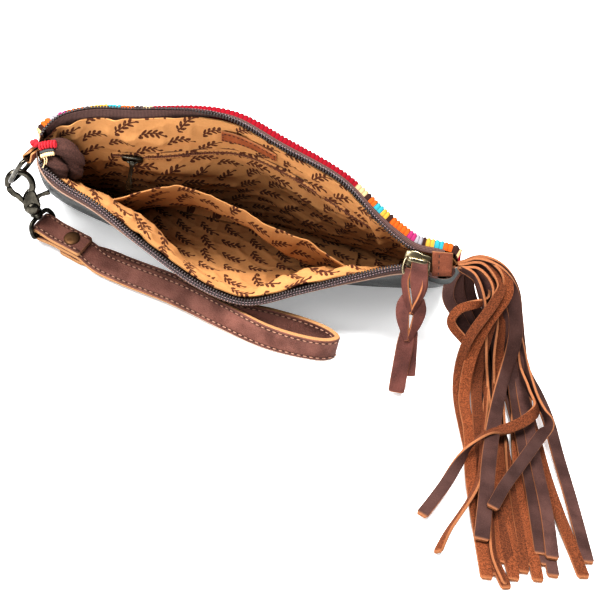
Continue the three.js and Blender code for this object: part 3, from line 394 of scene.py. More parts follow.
def tube(rings, wrap=False, marks=None):
    """Skin over closed rings, an n by m table of points: quads between rings, and a fan on each end ring."""
    n, m = rings.shape[:2]
    marks = marks or {}
    points = rings.reshape(-1, 3)
    flat = {key: value.reshape(n * m, *value.shape[2:]) for key, value in marks.items()}
    quads = grid_quads(n, m, wrap_n=wrap, wrap_m=True)
    if wrap:
        return shell(points, quads, None, flat)
    first = np.arange(m)
    after = (first + 1) % m
    last = (n - 1) * m
    start_fan = np.stack([first, after, np.full(m, n * m)], axis=1)
    end_fan = np.stack([last + after, last + first, np.full(m, n * m + 1)], axis=1)
    points = np.vstack([points, rings[0].mean(0), rings[-1].mean(0)])
    flat = {key: np.concatenate([value, marks[key][[0, -1]].mean(1)]) for key, value in flat.items()}
    return shell(points, quads, np.vstack([start_fan, end_fan]), flat)


def plate(near, far, marks):
    """Closed plate between two n by m tables of points, with quads round the border."""
    n, m = near.shape[:2]
    one = grid_quads(n, m)
    two = one[:, ::-1] + n * m
    index = np.arange(n * m).reshape(n, m)
    border = np.concatenate([index[0, :-1], index[:-1, -1], index[-1, :0:-1], index[:0:-1, 0]])
    after = np.roll(border, -1)
    sides = np.stack([border, after, after + n * m, border + n * m], axis=1)
    marks = {
        key: np.concatenate([part.reshape(n * m, -1) for part in parts]).squeeze()
        for key, parts in marks.items()
    }
    points = np.vstack([near.reshape(-1, 3), far.reshape(-1, 3)])
    return shell(points, np.vstack([one, two, sides]), None, marks)


def edge_round(distance, radius):
    """Share of a sheet's half thickness near its border: a quarter circle over the radius."""
    t = np.clip(distance / radius, 0, 1)
    return np.sqrt(np.maximum(1 - (1 - t) ** 2, 0.0016))


def sheet(middle, normal, inner, outer, uv, edge=None):
    """Sheet about a middle surface: its inner and outer distances along the normal may change over it."""
    ones = np.ones(middle.shape[:2])
    marks = {"uv": (uv, uv), "side": (ones, -ones)}
    if edge is not None:
        marks["edge"] = (edge, edge)
    return plate(middle + normal * inner[..., None], middle - normal * outer[..., None], marks)


def oval(count, power=2.0):
    """Unit superellipse: cosine and sine, each raised to 2 / power with its sign kept."""
    angle = np.linspace(0, 2 * np.pi, count, endpoint=False) + np.pi / count
    c, s = np.cos(angle), np.sin(angle)
    return np.stack([np.sign(c) * np.abs(c) ** (2 / power), np.sign(s) * np.abs(s) ** (2 / power)], axis=1)


def end_taper(count, rows, least):
    """Scale of the rings at both ends of a path, rounding its last rows like a quarter circle."""
    from_end = np.minimum(np.arange(count), np.arange(count)[::-1])
    t = np.clip(from_end / rows, 0, 1)
    return least + (1 - least) * np.sqrt(1 - (1 - t) ** 2)


def ribbon(path, across, width, thick, count, power, taper_rows=2):
    """Flat strip along a path: a superellipse section, its half sides width / 2 and thick / 2.

    Marks give each point's place along and across the strip, the cut edge, and which face it is on.
    """
    heading = headings(path)
    across = across_of(heading, across)
    normal = np.cross(heading, across)
    section = oval(count, power)
    n = len(path)
    taper = end_taper(n, taper_rows, 0.75)
    half_width = np.broadcast_to(width, n) / 2 * taper
    half_thick = np.broadcast_to(thick, n) / 2 * taper
    u = half_width[:, None] * section[None, :, 0]
    w = half_thick[:, None] * section[None, :, 1]
    rings = path[:, None] + u[..., None] * across[:, None] + w[..., None] * normal[:, None]
    uv = pair(run_along(path)[:, None], u)
    edge = np.broadcast_to(step(np.abs(section[:, 0]), 0.955, 0.995), (n, count)).copy()
    edge[[0, -1]] = 1
    side = np.broadcast_to(np.clip(section[:, 1] * 3, -1, 1), (n, count))
    return tube(rings, marks={"uv": uv, "edge": edge, "side": side})


def wire(path, radius, sides=12, closed=False, guide=UP, round_rows=3):
    """Round bar along a path, its ends rounded where it is open."""
    heading = headings(path, closed)
    across = across_of(heading, guide)
    normal = np.cross(heading, across)
    n = len(path)
    radius = np.broadcast_to(radius, n) * (1 if closed else end_taper(n, round_rows, 0.15))
    ring = oval(sides)
    rings = path[:, None] + radius[:, None, None] * (
        ring[None, :, :1] * across[:, None] + ring[None, :, 1:] * normal[:, None]
    )
    return tube(rings, closed)


def flat_ring(stops, count, origin, right, up, out, radius, sides=12):
    """Closed wire through flat stops, given along two directions from an origin; out is across both."""
    table = route(np.c_[np.array(stops, float), np.zeros(len(stops))], count + 1, True)[:-1]
    path = origin + table[:, :1] * right + table[:, 1:2] * up
    return wire(path, radius, sides, True, out)


def turned(profile, origin, axis, guide=RIGHT, sides=28):
    """Profile of (radius, height) turned about an axis through an origin."""
    profile = np.asarray(profile, float)
    axis = unit(np.asarray(axis, float))
    across = across_of(axis[None], guide)[0]
    ring = oval(sides)
    rim = ring[:, :1] * across + ring[:, 1:] * np.cross(axis, across)
    rings = origin + profile[:, 1, None, None] * axis + np.maximum(profile[:, 0], 0.02)[:, None, None] * rim
    return tube(rings)


def lofted(stations, origin, axes, sides, power):
    """Superellipse rings along the third of three axes: height, centre x, centre y, half x, half y."""
    table = np.asarray(stations, float)
    ring = oval(sides, power)
    x = table[:, 1, None] + table[:, 3, None] * ring[None, :, 0]
    y = table[:, 2, None] + table[:, 4, None] * ring[None, :, 1]
    z = np.broadcast_to(table[:, 0, None], x.shape)
    return tube(origin + x[..., None] * axes[0] + y[..., None] * axes[1] + z[..., None] * axes[2])


def copies(template, origins, axes):
    """A shell repeated at each origin, its x, y, z along that place's three axes."""
    count, size = len(origins), len(template["points"])
    points = origins[:, None] + np.einsum("pk,ckd->cpd", template["points"], axes)
    shift = (np.arange(count) * size)[:, None, None]
    marks = {key: np.concatenate([value] * count) for key, value in template["marks"].items()}
    return {
        "points": points.reshape(-1, 3),
        "quads": (template["quads"][None] + shift).reshape(-1, 4),
        "tris": (template["tris"][None] + shift).reshape(-1, 3),
        "marks": marks,
    }


def joined(shells):
    """Several shells as one; a mark that a shell lacks is zero there."""
    shift = np.cumsum([0] + [len(s["points"]) for s in shells[:-1]])
    keys = {key for s in shells for key in s["marks"]}
    marks = {}
    for key in sorted(keys):
        width = next(np.shape(s["marks"][key])[1:] for s in shells if key in s["marks"])
        parts = [s["marks"].get(key, np.zeros((len(s["points"]), *width))) for s in shells]
        marks[key] = np.concatenate(parts)
    return {
        "points": np.vstack([s["points"] for s in shells]),
        "quads": np.vstack([s["quads"] + k for s, k in zip(shells, shift)]),
        "tris": np.vstack([s["tris"] + k for s, k in zip(shells, shift)]),
        "marks": marks,
    }


def piece(name, made, material, replaces, body="wristlet"):
    """One object at the origin from a shell: mesh in metres, marks as attributes, uv as a millimetre map."""
    made = joined(made) if isinstance(made, list) else made
    mesh = bpy.data.meshes.new(name)
    points = (made["points"] - (0, REST_Y, 0)) / 1000
    mesh.from_pydata(points, [], made["quads"].tolist() + made["tris"].tolist())
    for key, value in made["marks"].items():
        if key == "uv":
            loops = np.zeros(len(mesh.loops), np.int32)
            mesh.loops.foreach_get("vertex_index", loops)
            mesh.uv_layers.new(name="surface").data.foreach_set("uv", value[loops].astype(np.float32).ravel())
        elif value.ndim == 2:
            rgba = np.c_[value, np.ones(len(value))].astype(np.float32)
            mesh.attributes.new(key, "FLOAT_COLOR", "POINT").data.foreach_set("color", rgba.ravel())
        else:
            mesh.attributes.new(key, "FLOAT", "POINT").data.foreach_set("value", value.astype(np.float32))
    mesh.polygons.foreach_set("use_smooth", np.ones(len(mesh.polygons), bool))
    mesh.set_sharp_from_angle(angle=SHARP_ANGLE)
    mesh.materials.append(material)
    mesh.update()
    thing = bpy.data.objects.new(name, mesh)
    bpy.context.scene.collection.objects.link(thing)
    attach(thing, body)
    if replaces:
        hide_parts(*replaces)
    return thing


def stitch_run(path, normal, pitch, length, radius, lift):
    """Stitches along a path: short bars with round ends, one each pitch, lifted along the surface normal."""
    count = int(run_along(path)[-1] / pitch)
    table = even(np.c_[path, normal], 2 * count + 1)[1::2]
    origin, normal = table[:, :3], unit(table[:, 3:6])
    heading = headings(origin)
    side = np.cross(normal, heading)
    bar = np.stack([np.linspace(-length / 2, length / 2, 7), np.zeros(7), np.zeros(7)], axis=1)
    bar[:, 2] = radius * 0.5 * np.cos(np.linspace(-1.4, 1.4, 7))
    template = wire(bar, radius, 6)
    return copies(template, origin + normal * lift, np.stack([heading, side, normal], axis=1))


# Walls of the pouch


def fullness(across):
    """How far a wall stands off the seam: the root of a half sine along the rim."""
    return np.sqrt(np.maximum(np.sin(np.pi * across), 0))


def pull_at(table, across):
    """A wall's pull: cosine steps between its three rows, drawn to the seam's pull at both ends."""
    place = np.clip((across - 0.25) / 0.25, 0, 2)
    row = np.minimum(np.floor(place), 1).astype(int)
    part = ((1 - np.cos((place - row) * np.pi)) / 2)[:, None]
    table = np.asarray(table, float)
    middle = table[row] * (1 - part) + table[row + 1] * part
    return SEAM_PULL + (middle - SEAM_PULL) * fullness(across)[:, None]


def settle(z):
    """Height of leather pressed on the floor: a parabola between lying flat and standing free."""
    floor = LEATHER + GAP / 2
    above = z - floor
    bent = (above + FLOOR_BLEND) ** 2 / (4 * FLOOR_BLEND)
    return floor + np.where(np.abs(above) < FLOOR_BLEND, bent, np.maximum(above, 0))


def make_wall(side, across, rows=130):
    """A wall as a table of points and inward normals.

    Each column is a cubic Bezier curve from the rim to the bottom seam, sampled at even depths from just
    above the rim. Normals are the cross product of the table's two directions, at the seams of the seam's.
    """
    rim = mouth_path(RIMS[side], 1200)
    share = np.linspace(0, 1, len(rim))
    top = np.stack([np.interp(across, share, column) for column in rim.T], axis=1)
    pull = pull_at(PULLS[side], across)
    foot_x = BAG_WIDTH * (across - 0.5)
    foot_y = BOTTOM_Y - BOTTOM_ROUNDING * np.abs(2 * across - 1) ** 6
    press = (FLOOR_PRESS if side == "front" else FLOOR_BLEND) * fullness(across)
    foot = np.stack([foot_x, foot_y, LEATHER + GAP / 2 - press], axis=1)
    upper = np.stack([top[:, 0] + (foot_x - top[:, 0]) / 3, pull[:, 0], pull[:, 1]], axis=1)
    lower = np.stack([top[:, 0] + (foot_x - top[:, 0]) * 2 / 3, pull[:, 2], pull[:, 3]], axis=1)
    t = np.linspace(0, 1, 110)[None, :, None]
    curve = (
        (1 - t) ** 3 * top[:, None] + 3 * (1 - t) ** 2 * t * upper[:, None]
        + 3 * (1 - t) * t**2 * lower[:, None] + t**3 * foot[:, None]
    )
    run = run_along(curve, 1)
    length = run[:, -1]
    depth = -RIM_LIFT + (length[:, None] + RIM_LIFT) * np.linspace(0, 1, rows)
    inside = np.clip(depth, 0, length[:, None])
    k = np.clip((run[:, None, :] <= inside[:, :, None]).sum(-1) - 1, 0, t.shape[1] - 2)
    low, high = np.take_along_axis(run, k, 1), np.take_along_axis(run, k + 1, 1)
    part = ((inside - low) / np.maximum(high - low, 1e-9))[..., None]
    points = np.take_along_axis(curve, k[..., None], 1) * (1 - part)
    points = points + np.take_along_axis(curve, k[..., None] + 1, 1) * part
    points = points + np.minimum(depth, 0)[..., None] * unit(upper - top)[:, None]
    points[..., 2] = settle(points[..., 2])
    down = np.gradient(points, axis=1)
    free = facing(points) * INWARD[side]
    seam = unit(np.cross(RIGHT, down)) * INWARD[side]
    share = step(np.minimum(across, 1 - across), 0, 0.05)[:, None, None]
    inward = unit(seam * (1 - share) + free * share)
    return {"points": points, "inward": inward, "length": length, "across": across}


def on_wall(wall, depth, inwards):
    """Points a depth below the rim and a distance inwards, and the normals there, between the wall's rows."""
    rows = wall["points"].shape[1]
    depth = np.broadcast_to(depth, (len(wall["across"]), np.shape(depth)[-1]))
    place = np.clip((depth + RIM_LIFT) / (wall["length"][:, None] + RIM_LIFT) * (rows - 1), 0, rows - 1.001)
    k = np.floor(place).astype(int)[..., None]
    part = place[..., None] - k
    mixed = [
        np.take_along_axis(table, k, 1) * (1 - part) + np.take_along_axis(table, k + 1, 1) * part
        for table in (wall["points"], wall["inward"])
    ]
    normal = unit(mixed[1])
    return mixed[0] + normal * np.asarray(np.broadcast_to(inwards, depth.shape))[..., None], normal


def rim_length(side):
    """Length of a rim in millimetres."""
    return np.linalg.norm(np.diff(mouth_path(RIMS[side], 600), axis=0), axis=1).sum()


def close_ends(count, low=0.0, high=1.0):
    """Shares along a rim, closer together towards both ends."""
    t = np.linspace(0, 1, count)
    return low + (high - low) * (0.6 * t + 0.4 * (1 - np.cos(np.pi * t)) / 2)


def depth_rows(wall, top, foot, count):
    """Depths from a top edge to a distance before the seam, closer together at both edges."""
    t = np.linspace(0, 1, count)
    eased = 0.82 * t + 0.18 * (1 - np.cos(np.pi * t)) / 2
    near_edge = t**2 * (1 - t)
    eased = np.clip(eased - 0.25 * near_edge * (t < 0.5), 0, 1)
    top = np.broadcast_to(top, len(wall["across"]))[:, None]
    return top + (wall["length"][:, None] - foot - top) * eased


def border_distance(u, depth, top, foot_depth, high):
    """Distance of each point of a wall piece to its border, in millimetres."""
    side = np.minimum(u, high - u)
    return np.minimum(side, np.minimum(depth - top, foot_depth - depth))


def creases(u, v, table):
    """Folds in cloth: for each row, a ridge along a segment with a Gaussian section, fading past its ends.

    Rows hold the segment's two ends, the ridge's width and its height.
    """
    height = np.zeros(np.broadcast(u, v).shape)
    for u0, v0, u1, v1, width, rise in table:
        du, dv = u1 - u0, v1 - v0
        length = np.hypot(du, dv)
        along = ((u - u0) * du + (v - v0) * dv) / length**2
        aside = ((v - v0) * du - (u - u0) * dv) / length
        past = np.maximum(np.abs(along - 0.5) - 0.5, 0) * length
        height = height + rise * np.exp(-((aside / width) ** 2) - (past / (2 * width)) ** 2)
    return height


def crumple(u, v):
    """Small creases all over cloth: three crossing sets of bent ridges, each a sharpened absolute sine."""
    height = 0
    for turn, length, bend, rise in ((24, 4.6, 9.0, 0.7), (80, 3.7, 8.0, 0.55), (-42, 2.9, 6.0, 0.4)):
        c, s = np.cos(np.radians(turn)), np.sin(np.radians(turn))
        wave = (u * c + v * s) / length + 0.9 * np.sin((v * c - u * s) / bend + turn)
        height = height + rise * (1 - np.abs(np.sin(wave))) ** 3
    return height


# Material nodes


def node(tree, kind, inputs=None, **settings):
    """A node with its settings and its inputs, each a value or another node's socket."""
    made = tree.nodes.new(kind)
    for key, value in settings.items():
        setattr(made, key, value)
    for key, value in (inputs or {}).items():
        if isinstance(value, bpy.types.NodeSocket):
            tree.links.new(value, made.inputs[key])
        else:
            made.inputs[key].default_value = value
    return made


def calc(tree, operation, a, b=0.0, c=0.0):
    """A math node's result."""
    return node(tree, "ShaderNodeMath", {0: a, 1: b, 2: c}, operation=operation).outputs[0]


def noise(tree, vector, scale, detail, roughness=0.5):
    """A noise texture's value."""
    inputs = {"Vector": vector, "Scale": scale, "Detail": detail, "Roughness": roughness}
    return node(tree, "ShaderNodeTexNoise", inputs).outputs["Fac"]


def blend(tree, factor, a, b):
    """Two colours mixed by a factor; each is a socket or three numbers."""
    a, b = ((*colour, 1) if isinstance(colour, tuple) else colour for colour in (a, b))
    return node(tree, "ShaderNodeMix", {0: factor, 6: a, 7: b}, data_type="RGBA").outputs[2]


def shaded(colour, share):
    """A share of a colour's brightness."""
    return tuple(share * part for part in colour)


def ramp(tree, value, low, high, to_low=0.0, to_high=1.0):
    """A value taken from one range to another, held at its ends."""
    made = node(
        tree, "ShaderNodeMapRange",
        {"Value": value, "From Min": low, "From Max": high, "To Min": to_low, "To Max": to_high},
        interpolation_type="SMOOTHSTEP",
    )
    return made.outputs["Result"]


def group(name, inputs, outputs):
    """An empty shader node group with named sockets, its input node and its output node."""
    tree = bpy.data.node_groups.new(name, "ShaderNodeTree")
    for label, kind in inputs:
        tree.interface.new_socket(label, in_out="INPUT", socket_type=kind)
    for label in outputs:
        tree.interface.new_socket(label, in_out="OUTPUT", socket_type="NodeSocketFloat")
    return tree, node(tree, "NodeGroupInput"), node(tree, "NodeGroupOutput")


def rounded(tree, angle):
    """Rounded ridges: the absolute sine of an angle."""
    return calc(tree, "ABSOLUTE", calc(tree, "SINE", angle))


def grain_group():
    """Leather grain: creased cells with fine pores for height, and broad uneven colour for tone."""
    tree, given, result = group(
        "leather_grain", [("Vector", "NodeSocketVector"), ("Scale", "NodeSocketFloat")], ["Height", "Tone"]
    )
    vector, scale = given.outputs["Vector"], given.outputs["Scale"]
    cells = node(tree, "ShaderNodeTexVoronoi", {"Vector": vector, "Scale": scale}, feature="DISTANCE_TO_EDGE")
    pores = noise(tree, vector, calc(tree, "MULTIPLY", scale, 2.6), 4)
    broad = noise(tree, vector, calc(tree, "MULTIPLY", scale, 0.09), 5)
    crease = ramp(tree, cells.outputs["Distance"], 0.0, 0.16)
    height = calc(tree, "MULTIPLY_ADD", pores, 0.7, calc(tree, "MULTIPLY", crease, 0.6))
    tree.links.new(height, result.inputs["Height"])
    tone = calc(tree, "MULTIPLY_ADD", pores, 0.55, ramp(tree, broad, 0.3, 0.72, 0.12, 0.55))
    tree.links.new(tone, result.inputs["Tone"])
    return tree


def weave_group():
    """Plain weave on a map in millimetres: the product of two rows of rounded threads, with uneven yarn."""
    tree, given, result = group(
        "plain_weave", [("Vector", "NodeSocketVector"), ("Pitch", "NodeSocketFloat")], ["Height", "Tone"]
    )
    apart = node(tree, "ShaderNodeSeparateXYZ", {0: given.outputs["Vector"]})
    turns = calc(tree, "DIVIDE", np.pi, given.outputs["Pitch"])
    threads = [rounded(tree, calc(tree, "MULTIPLY", apart.outputs[axis], turns)) for axis in (0, 1)]
    uneven = noise(tree, given.outputs["Vector"], 0.9, 3)
    height = calc(tree, "MULTIPLY", threads[0], threads[1])
    tree.links.new(calc(tree, "MULTIPLY_ADD", uneven, 0.3, height), result.inputs["Height"])
    tree.links.new(uneven, result.inputs["Tone"])
    return tree


def wear_group():
    """Rubbed metal: a mask of bright rubbed patches, and fine pits for height."""
    tree, given, result = group(
        "worn_metal", [("Vector", "NodeSocketVector"), ("Scale", "NodeSocketFloat")], ["Worn", "Height"]
    )
    vector, scale = given.outputs["Vector"], given.outputs["Scale"]
    patches = noise(tree, vector, scale, 6, 0.65)
    pits = noise(tree, vector, calc(tree, "MULTIPLY", scale, 6.0), 3)
    tree.links.new(ramp(tree, patches, 0.3, 0.72), result.inputs["Worn"])
    tree.links.new(pits, result.inputs["Height"])
    return tree


def sprig_group():
    """Printed sprigs on a map in millimetres, one in each brick of a running bond, turned by its own angle.

    In a sprig's own frame the stem is where the distance to a short parabola is small. Leaves are turned
    ellipses beside it, one each pitch and by turns on either side, and a berry ends the stem.
    """
    tree, given, result = group("sprig_print", [("Vector", "NodeSocketVector")], ["Print"])
    brick_long, brick_high, pitch = 18.0, 10.5, 2.8
    turn = (0, 0, np.radians(24))
    lean = node(tree, "ShaderNodeMapping", {"Vector": given.outputs["Vector"], "Rotation": turn})
    apart = node(tree, "ShaderNodeSeparateXYZ", {0: lean.outputs[0]})
    rows = calc(tree, "DIVIDE", apart.outputs[1], brick_high)
    row = calc(tree, "FLOOR", rows)
    bricks = calc(tree, "MULTIPLY_ADD", row, 0.41, calc(tree, "DIVIDE", apart.outputs[0], brick_long))
    inside = [
        calc(tree, "MULTIPLY", calc(tree, "SUBTRACT", calc(tree, "FRACT", part), 0.5), size)
        for part, size in ((bricks, brick_long), (rows, brick_high))
    ]
    brick = node(tree, "ShaderNodeCombineXYZ", {0: calc(tree, "FLOOR", bricks), 1: row})
    chance = node(tree, "ShaderNodeTexWhiteNoise", {"Vector": brick.outputs[0]}, noise_dimensions="2D")
    angle = ramp(tree, chance.outputs["Value"], 0.0, 1.0, -0.5, 0.5)
    place = node(tree, "ShaderNodeCombineXYZ", {0: inside[0], 1: inside[1]}).outputs[0]
    own = node(tree, "ShaderNodeVectorRotate", {"Vector": place, "Angle": angle}, rotation_type="Z_AXIS")
    local = node(tree, "ShaderNodeSeparateXYZ", {0: own.outputs[0]})
    u = local.outputs[0]
    bow = calc(tree, "MULTIPLY_ADD", calc(tree, "MULTIPLY", u, u), 0.035, -0.6)
    w = calc(tree, "SUBTRACT", local.outputs[1], bow)
    aside = calc(tree, "ABSOLUTE", w)
    stem_end = ramp(tree, calc(tree, "ABSOLUTE", u), 6.6, 6.2)
    stem = calc(tree, "MULTIPLY", ramp(tree, aside, 0.6, 0.36), stem_end)
    above = calc(tree, "GREATER_THAN", w, 0.0)
    turns = calc(tree, "MULTIPLY_ADD", above, 0.5, calc(tree, "DIVIDE", u, pitch))
    along = calc(tree, "MULTIPLY", calc(tree, "SUBTRACT", calc(tree, "FRACT", turns), 0.5), pitch)
    off = calc(tree, "SUBTRACT", aside, 1.5)
    long_way = calc(tree, "ADD", calc(tree, "MULTIPLY", along, 0.42), calc(tree, "MULTIPLY", off, 0.42))
    wide_way = calc(tree, "SUBTRACT", calc(tree, "MULTIPLY", off, 0.95), calc(tree, "MULTIPLY", along, 0.95))
    oval_sum = calc(tree, "ADD", calc(tree, "POWER", long_way, 2.0), calc(tree, "POWER", wide_way, 2.0))
    from_middle = calc(tree, "ABSOLUTE", calc(tree, "ADD", calc(tree, "FLOOR", turns), 0.5))
    kept = calc(tree, "LESS_THAN", from_middle, 2.1)
    leaf = calc(tree, "MULTIPLY", ramp(tree, oval_sum, 1.15, 0.8), kept)
    berry_u = calc(tree, "SUBTRACT", u, 6.9)
    berry = calc(tree, "ADD", calc(tree, "POWER", berry_u, 2.0), calc(tree, "POWER", w, 2.0))
    marks = calc(tree, "MAXIMUM", calc(tree, "MAXIMUM", stem, leaf), ramp(tree, berry, 0.85, 0.55))
    tree.links.new(marks, result.inputs["Print"])
    return tree


GRAIN, WEAVE, WEAR, SPRIG = grain_group(), weave_group(), wear_group(), sprig_group()


def shader(name, roughness, metallic=0.0, specular=0.5):
    """A material with a Principled BSDF, its uniform values set on the shader's own sockets."""
    material = bpy.data.materials.new(name)
    material.use_nodes = True
    tree = material.node_tree
    principled = tree.nodes["Principled BSDF"]
    values = {"Roughness": roughness, "Metallic": metallic, "Specular IOR Level": specular}
    for label, value in values.items():
        principled.inputs[label].default_value = value
    return material, tree, principled


def from_object(tree):
    """Object coordinates, in metres."""
    return node(tree, "ShaderNodeTexCoord").outputs["Object"]


def from_map(tree):
    """The piece's own surface map, in millimetres."""
    return node(tree, "ShaderNodeUVMap", uv_map="surface").outputs["UV"]


def mark(tree, name, kind="Fac"):
    """A value kept at the piece's points, or a colour."""
    return node(tree, "ShaderNodeAttribute", attribute_name=name).outputs[kind]


def use(tree, made, inputs):
    """A node group placed in a material."""
    return node(tree, "ShaderNodeGroup", inputs, node_tree=made)


def dress(tree, principled, colour, height, distance, strength=0.5, rough=None):
    """Colour, roughness and height to the shader; the height's distance is in metres."""
    tree.links.new(colour, principled.inputs["Base Color"])
    if rough is not None:
        tree.links.new(rough, principled.inputs["Roughness"])
    bump = node(tree, "ShaderNodeBump", {"Height": height, "Strength": strength, "Distance": distance})
    tree.links.new(bump.outputs["Normal"], principled.inputs["Normal"])


def leather(name, light, dark, cut_edge, suede=None, seam=None, scale=900.0, roughness=0.5):
    """Leather with creased grain and uneven tone; cut edges and a napped back where the piece marks them.

    A seam is the distance of the stitch lines from the middle of the strip; along them the colour is darkened
    as painted shade of the stitch grooves.
    """
    material, tree, principled = shader(name, roughness, specular=0.22)
    grain = use(tree, GRAIN, {"Vector": from_object(tree), "Scale": scale})
    colour = blend(tree, ramp(tree, grain.outputs["Tone"], 0.2, 0.92), dark, light)
    rough = ramp(tree, grain.outputs["Tone"], 0.0, 1.2, roughness + 0.12, roughness - 0.06)
    if seam:
        aside = node(tree, "ShaderNodeSeparateXYZ", {0: from_map(tree)}).outputs["Y"]
        away = calc(tree, "ABSOLUTE", calc(tree, "SUBTRACT", calc(tree, "ABSOLUTE", aside), seam))
        # Painted shade of the stitch grooves: the colour darkens along the stitch lines.
        colour = blend(tree, ramp(tree, away, 0.9, 0.25, 0, 0.75), colour, shaded(dark, 0.4))
    if suede:
        back = ramp(tree, mark(tree, "side"), 0.1, -0.1)
        nap = noise(tree, from_object(tree), scale * 2.2, 4)
        napped = blend(tree, ramp(tree, nap, 0.34, 0.66), shaded(suede, 0.36), suede)
        # Painted shade and strand tone: each thong's colour is darkened towards near black by the mark kept
        # at its points.
        colour = blend(tree, mark(tree, "shade"), blend(tree, back, colour, napped), (0.02, 0.007, 0.005))
        rough = calc(tree, "MAXIMUM", rough, calc(tree, "MULTIPLY", back, 0.95))
    raw = mark(tree, "edge")
    pale = blend(tree, noise(tree, from_object(tree), scale * 1.5, 3), shaded(cut_edge, 0.55), cut_edge)
    colour = blend(tree, raw, colour, pale)
    rough = calc(tree, "MAXIMUM", rough, calc(tree, "MULTIPLY", raw, 0.85))
    dress(tree, principled, colour, grain.outputs["Height"], 0.0003, rough=rough)
    return material


def woven_cloth():
    """Ribbed weave in striped yarn: each rib's colour is kept at the points, with yarn turns across it."""
    material, tree, principled = shader("woven_stripes", 0.92, specular=0.2)
    apart = node(tree, "ShaderNodeSeparateXYZ", {0: from_map(tree)})
    rib = calc(tree, "DIVIDE", apart.outputs[0], RIB_PITCH)
    odd = calc(tree, "FRACT", calc(tree, "MULTIPLY", calc(tree, "FLOOR", rib), 0.5))
    down = calc(tree, "DIVIDE", apart.outputs[1], YARN_TURN)
    lean = calc(tree, "MULTIPLY_ADD", calc(tree, "FRACT", rib), 0.3, down)
    turns = calc(tree, "MULTIPLY_ADD", odd, 2.0, lean)
    fuzz = noise(tree, from_object(tree), 1600.0, 4)
    height = calc(tree, "MULTIPLY_ADD", fuzz, 0.5, rounded(tree, calc(tree, "MULTIPLY", turns, np.pi)))
    yarn = mark(tree, "stripe", "Color")
    # Painted shade: the yarn colour darkens towards near black in the grooves between ribs and low in the
    # yarn turns.
    painted_groove_shade = blend(tree, 0.55, yarn, (0.02, 0.008, 0.006))
    groove = rounded(tree, calc(tree, "MULTIPLY", rib, np.pi))
    unshaded_share = calc(tree, "MULTIPLY", ramp(tree, height, 0.15, 0.85), ramp(tree, groove, 0.0, 0.6, 0.25, 1.0))
    dress(tree, principled, blend(tree, unshaded_share, painted_groove_shade, yarn), height, 0.0006, 0.7)
    return material


def lining_cloth():
    """Tan cotton in plain weave, printed with brown sprigs."""
    material, tree, principled = shader("printed_cotton", 0.9, specular=0.2)
    surface = from_map(tree)
    weave = use(tree, WEAVE, {"Vector": surface, "Pitch": 0.55})
    cloth = blend(tree, weave.outputs["Tone"], (0.43, 0.218, 0.084), (0.52, 0.28, 0.121))
    print_mask = use(tree, SPRIG, {"Vector": surface}).outputs["Print"]
    uneven = calc(tree, "MULTIPLY", print_mask, ramp(tree, weave.outputs["Tone"], 0.2, 0.5, 0.7, 1.0))
    colour = blend(tree, uneven, cloth, (0.085, 0.028, 0.014))
    dress(tree, principled, colour, weave.outputs["Height"], 0.00012, 0.6)
    return material


def tape_cloth(name, light, dark):
    """Zip tape: fine plain weave in two tones of one colour."""
    material, tree, principled = shader(name, 0.9, specular=0.25)
    weave = use(tree, WEAVE, {"Vector": from_map(tree), "Pitch": 0.7})
    # Painted shade between the threads: the tape is darker where the weave lies low.
    colour = blend(tree, ramp(tree, weave.outputs["Height"], 0.2, 1.0), dark, light)
    dress(tree, principled, colour, weave.outputs["Height"], 0.00018, 0.7)
    return material


def plain_fibre(name, light, dark, scale=2500.0, roughness=0.8):
    """Thread, yarn, plain cloth or coil teeth: two close tones in fine noise."""
    material, tree, principled = shader(name, roughness)
    fibres = noise(tree, from_object(tree), scale, 3)
    colour = blend(tree, ramp(tree, fibres, 0.3, 0.7), dark, light)
    dress(tree, principled, colour, fibres, 0.00008, 0.4)
    return material


def old_metal(name, rubbed, dark, roughness):
    """Antique metal: dark patina with rubbed patches."""
    material, tree, principled = shader(name, roughness, 1.0)
    wear = use(tree, WEAR, {"Vector": from_object(tree), "Scale": 170.0})
    colour = blend(tree, wear.outputs["Worn"], dark, rubbed)
    rough = ramp(tree, wear.outputs["Worn"], 0.0, 1.0, roughness + 0.08, roughness - 0.04)
    dress(tree, principled, colour, wear.outputs["Height"], 0.00003, 0.25, rough)
    return material


CUT_TAN = (0.55, 0.30, 0.14)
STRAP_LEATHER = leather(
    "strap_leather", (0.22, 0.095, 0.071), (0.085, 0.032, 0.023), CUT_TAN, seam=STRAP_SEAM, roughness=0.56
)
PULL_LEATHER = leather(
    "pull_leather", (0.14, 0.05, 0.039), (0.05, 0.017, 0.013), (0.4, 0.17, 0.075), roughness=0.6
)
TAB_LEATHER = leather("tab_leather", (0.26, 0.087, 0.045), (0.095, 0.03, 0.016), CUT_TAN, roughness=0.62)
PATCH_LEATHER = leather("patch_leather", (0.36, 0.115, 0.042), (0.18, 0.052, 0.019), CUT_TAN, roughness=0.62)
TASSEL_LEATHER = leather(
    "tassel_leather", (0.115, 0.055, 0.045), (0.04, 0.016, 0.013), (0.42, 0.18, 0.082), (0.26, 0.081, 0.031),
    scale=800.0, roughness=0.62,
)
GREY_LEATHER = leather(
    "grey_leather", (0.085, 0.09, 0.088), (0.035, 0.038, 0.038), (0.62, 0.4, 0.3), scale=700.0
)
WOVEN_CLOTH = woven_cloth()
LINING = lining_cloth()
TAPE = tape_cloth("zip_tape", (0.18, 0.105, 0.092), (0.06, 0.034, 0.03))
TEETH = plain_fibre("zip_teeth", (0.04, 0.026, 0.024), (0.014, 0.009, 0.009), 1500.0, 0.34)
ZIP_THREAD = plain_fibre("zip_thread", (0.3, 0.215, 0.22), (0.14, 0.095, 0.1))
DARK_THREAD = plain_fibre("dark_thread", (0.045, 0.02, 0.014), (0.02, 0.009, 0.007))
